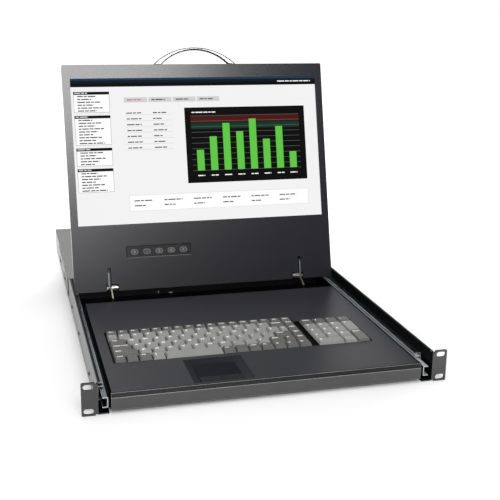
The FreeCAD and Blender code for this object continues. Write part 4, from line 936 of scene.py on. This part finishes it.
def railScrews(name):
    # one detailed head in the place of each plain one
    plain = mergedCopy(name)
    heads = bmesh.new()
    for group in islands(plain):
        low, high = extent([v.co for v in group])
        side = 1 if low.x > 0 else -1
        seat = (low + high) / 2
        seat.x = low.x if side > 0 else high.x
        addHead(heads, (high.y - low.y) / 2, high.x - low.x,
                Matrix.Translation(seat) @ Matrix.Rotation(math.radians(90 * side), 4, "Y"))
    plain.free()
    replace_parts(newPiece("rail_screws", heads, name, ["blackedSteel"]), name)


railScrews("chassis_screws")

panelScrews = {"places": (-190.0, -90.0, 8.0, 195.0), "level": 2.0, "radius": 2.6, "height": 1.5}  # mm
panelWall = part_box("rear_panel")[1].y


def onPanel(x, z, proud=0.0):
    # stands what was made on z = 0 on the rear panel, facing the rear
    return Matrix.Translation((x, panelWall + proud, z)) @ Matrix.Rotation(math.radians(-90), 4, "X")


def makePanelScrews(setup):
    heads = bmesh.new()
    for x in setup["places"]:
        addHead(heads, setup["radius"] * mm, setup["height"] * mm, onPanel(x * mm, setup["level"] * mm))
    newPiece("panel_screws", heads, "drawer_screws", ["nickelPlate"])


makePanelScrews(panelScrews)
print("screws made")

videoSocket = {
    # mm
    "flange": (29.8, 0.8, 12.0),  # width, depth and height
    "shellFoot": 0.88,  # share of the D shell's width that is left at its foot
    "shellCorner": 1.6, "cornerSegments": 4, "cornerAngle": 1.0,  # radians between the walls at a corner
    "rim": 0.6, "sunk": 1.0,  # the black insert lies inside the rim, below its edge
    "faceOut": 0.9, "flatness": 0.01,  # cosine and mm that tell the shell's front face
    "rows": 3, "columns": 5, "columnPitch": 2.29, "rowPitch": 1.98, "hole": 0.5, "holeSegments": 10,
    "nutReach": 12.0, "nut": 2.7, "nutHeight": 4.4, "nutBore": 1.4, "boreSegments": 16,
    "proud": 0.02,  # how far a hole's disc of painted shade lies in front of its face
}
dataSocket = {
    "wall": 1.5, "contacts": 8, "pitch": 1.02, "contact": (0.5, 6.0, 0.25),  # mm; width, depth and height
}
socketFinishes = ["tinPlate", "blackAbs", "innerPowderCoat", "nickelPlate", "goldPlate"]


def finishOf(verts, finish):
    for f in {f for v in verts for f in v.link_faces}:
        f.material_index = socketFinishes.index(finish)


def addBlock(bm, middle, size):
    place = Matrix.Translation(middle) @ Matrix.Diagonal((*size, 1))
    return bmesh.ops.create_cube(bm, size=1.0, matrix=place)["verts"]


def blackenMouth(bm, low, high, wall):
    # the inside of the data socket
    for f in bm.faces:
        middle = f.calc_center_median()
        if all(low[k] + wall / 2 < middle[k] < high[k] - wall / 2 for k in range(3)):
            f.material_index = socketFinishes.index("blackAbs")


def shapeShell(bm, shell, low, high, setup):
    # draws the video socket's shell into a D and sinks a black insert into it
    middle = (low + high) / 2
    bmesh.ops.scale(bm, verts=[v for v in shell if v.co.z < middle.z], vec=(setup["shellFoot"], 1, 1),
                    space=Matrix.Translation(-middle))
    depth = (high.y - low.y) / 2
    sides = dict.fromkeys(e for v in shell for e in v.link_edges
                          if abs(e.verts[0].co.y - e.verts[1].co.y) > depth
                          and e.calc_face_angle(0) > setup["cornerAngle"])
    rollEdges(bm, list(sides), setup["shellCorner"] * mm, setup["cornerSegments"])
    bm.normal_update()
    front = high.y - setup["flatness"] * mm
    insert = [f for f in bm.faces if f.normal.y > setup["faceOut"] and f.calc_center_median().y > front]
    bmesh.ops.inset_region(bm, faces=insert, thickness=setup["rim"] * mm, use_even_offset=True)
    insert = bmesh.ops.extrude_discrete_faces(bm, faces=insert)["faces"]
    verts = list({v for f in insert for v in f.verts})
    bmesh.ops.translate(bm, verts=verts, vec=(0, -setup["sunk"] * mm, 0))
    for f in insert:
        f.material_index = socketFinishes.index("blackAbs")


# painted shade: a near-black disc drawn flat where a hole lies in shade
def addHoleShadeDisc(bm, radius, segments, place):
    made = bmesh.ops.create_circle(bm, cap_ends=True, segments=segments, radius=radius * mm, matrix=place)
    finishOf(made["verts"], "innerPowderCoat")


# painted shade for the insert's pin holes
def addPinHoleShades(bm, middle, face, setup):
    rows, columns = setup["rows"], setup["columns"]
    for row in range(rows):
        for column in range(columns):
            # every second row stands half a pitch over
            across = column - (columns - 1) / 2 + (0.25 if row % 2 else -0.25)
            x = middle.x + across * setup["columnPitch"] * mm
            z = middle.z + (row - (rows - 1) / 2) * setup["rowPitch"] * mm
            place = onPanel(x, z, face - panelWall + setup["proud"] * mm)
            addHoleShadeDisc(bm, setup["hole"], setup["holeSegments"], place)


def addFlange(bm, middle, setup):
    # the steel flange round the video socket, and the nuts that its plug is screwed to
    width, depth, height = (size * mm for size in setup["flange"])
    addBlock(bm, (middle.x, panelWall + depth / 2, middle.z), (width, depth, height))
    tall, radius = setup["nutHeight"] * mm, setup["nut"] * mm
    for side in (-1, 1):
        x = middle.x + side * setup["nutReach"] * mm
        nut = bmesh.ops.create_cone(bm, cap_ends=True, segments=6, radius1=radius, radius2=radius, depth=tall,
                                    matrix=onPanel(x, middle.z, depth + tall / 2))
        finishOf(nut["verts"], "nickelPlate")
        place = onPanel(x, middle.z, depth + tall + setup["proud"] * mm)
        addHoleShadeDisc(bm, setup["nutBore"], setup["boreSegments"], place)


def addContacts(bm, low, high, setup):
    # gold springs on the floor of the data socket's mouth
    width, depth, height = (size * mm for size in setup["contact"])
    y, z = high.y - depth, low.z + setup["wall"] * mm + height
    for i in range(setup["contacts"]):
        x = (low.x + high.x) / 2 + (i - (setup["contacts"] - 1) / 2) * setup["pitch"] * mm
        finishOf(addBlock(bm, (x, y, z), (width, depth, height)), "goldPlate")


def makeSockets(video, data):
    bm = mergedCopy("signal_sockets")
    shell, mouth = sorted(islands(bm), key=lambda group: min(v.co.x for v in group))
    low, high = extent([v.co for v in shell])
    dataLow, dataHigh = extent([v.co for v in mouth])
    middle = (low + high) / 2
    blackenMouth(bm, dataLow, dataHigh, data["wall"] * mm)
    shapeShell(bm, shell, low, high, video)
    addPinHoleShades(bm, middle, high.y - video["sunk"] * mm, video)
    addFlange(bm, middle, video)
    addContacts(bm, dataLow, dataHigh, data)
    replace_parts(newPiece("socket_fronts", bm, "signal_sockets", socketFinishes), "signal_sockets")


makeSockets(videoSocket, dataSocket)
print("sockets made")

wallGlints = {
    # mm; two painted highlights, small white glints painted flat at the foot of the housing's front wall:
    # left, foot, width and height of each
    "marks": ((-75.6, -14.3, 1.6, 4.0), (-56.5, -16.1, 6.0, 2.4)), "proud": 0.05,
}


def paintWallGlints(setup):
    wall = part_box("rear_housing")[0].y
    bm = bmesh.new()
    for left, foot, width, height in setup["marks"]:
        addPatch(bm, left, foot, width, height, setup["proud"])
    bm.transform(Matrix.Translation((0, wall, 0)) @ Matrix.Rotation(math.radians(90), 4, "X"))
    newPiece("housing_glints", bm, "rear_housing", ["whitePrint"])


paintWallGlints(wallGlints)
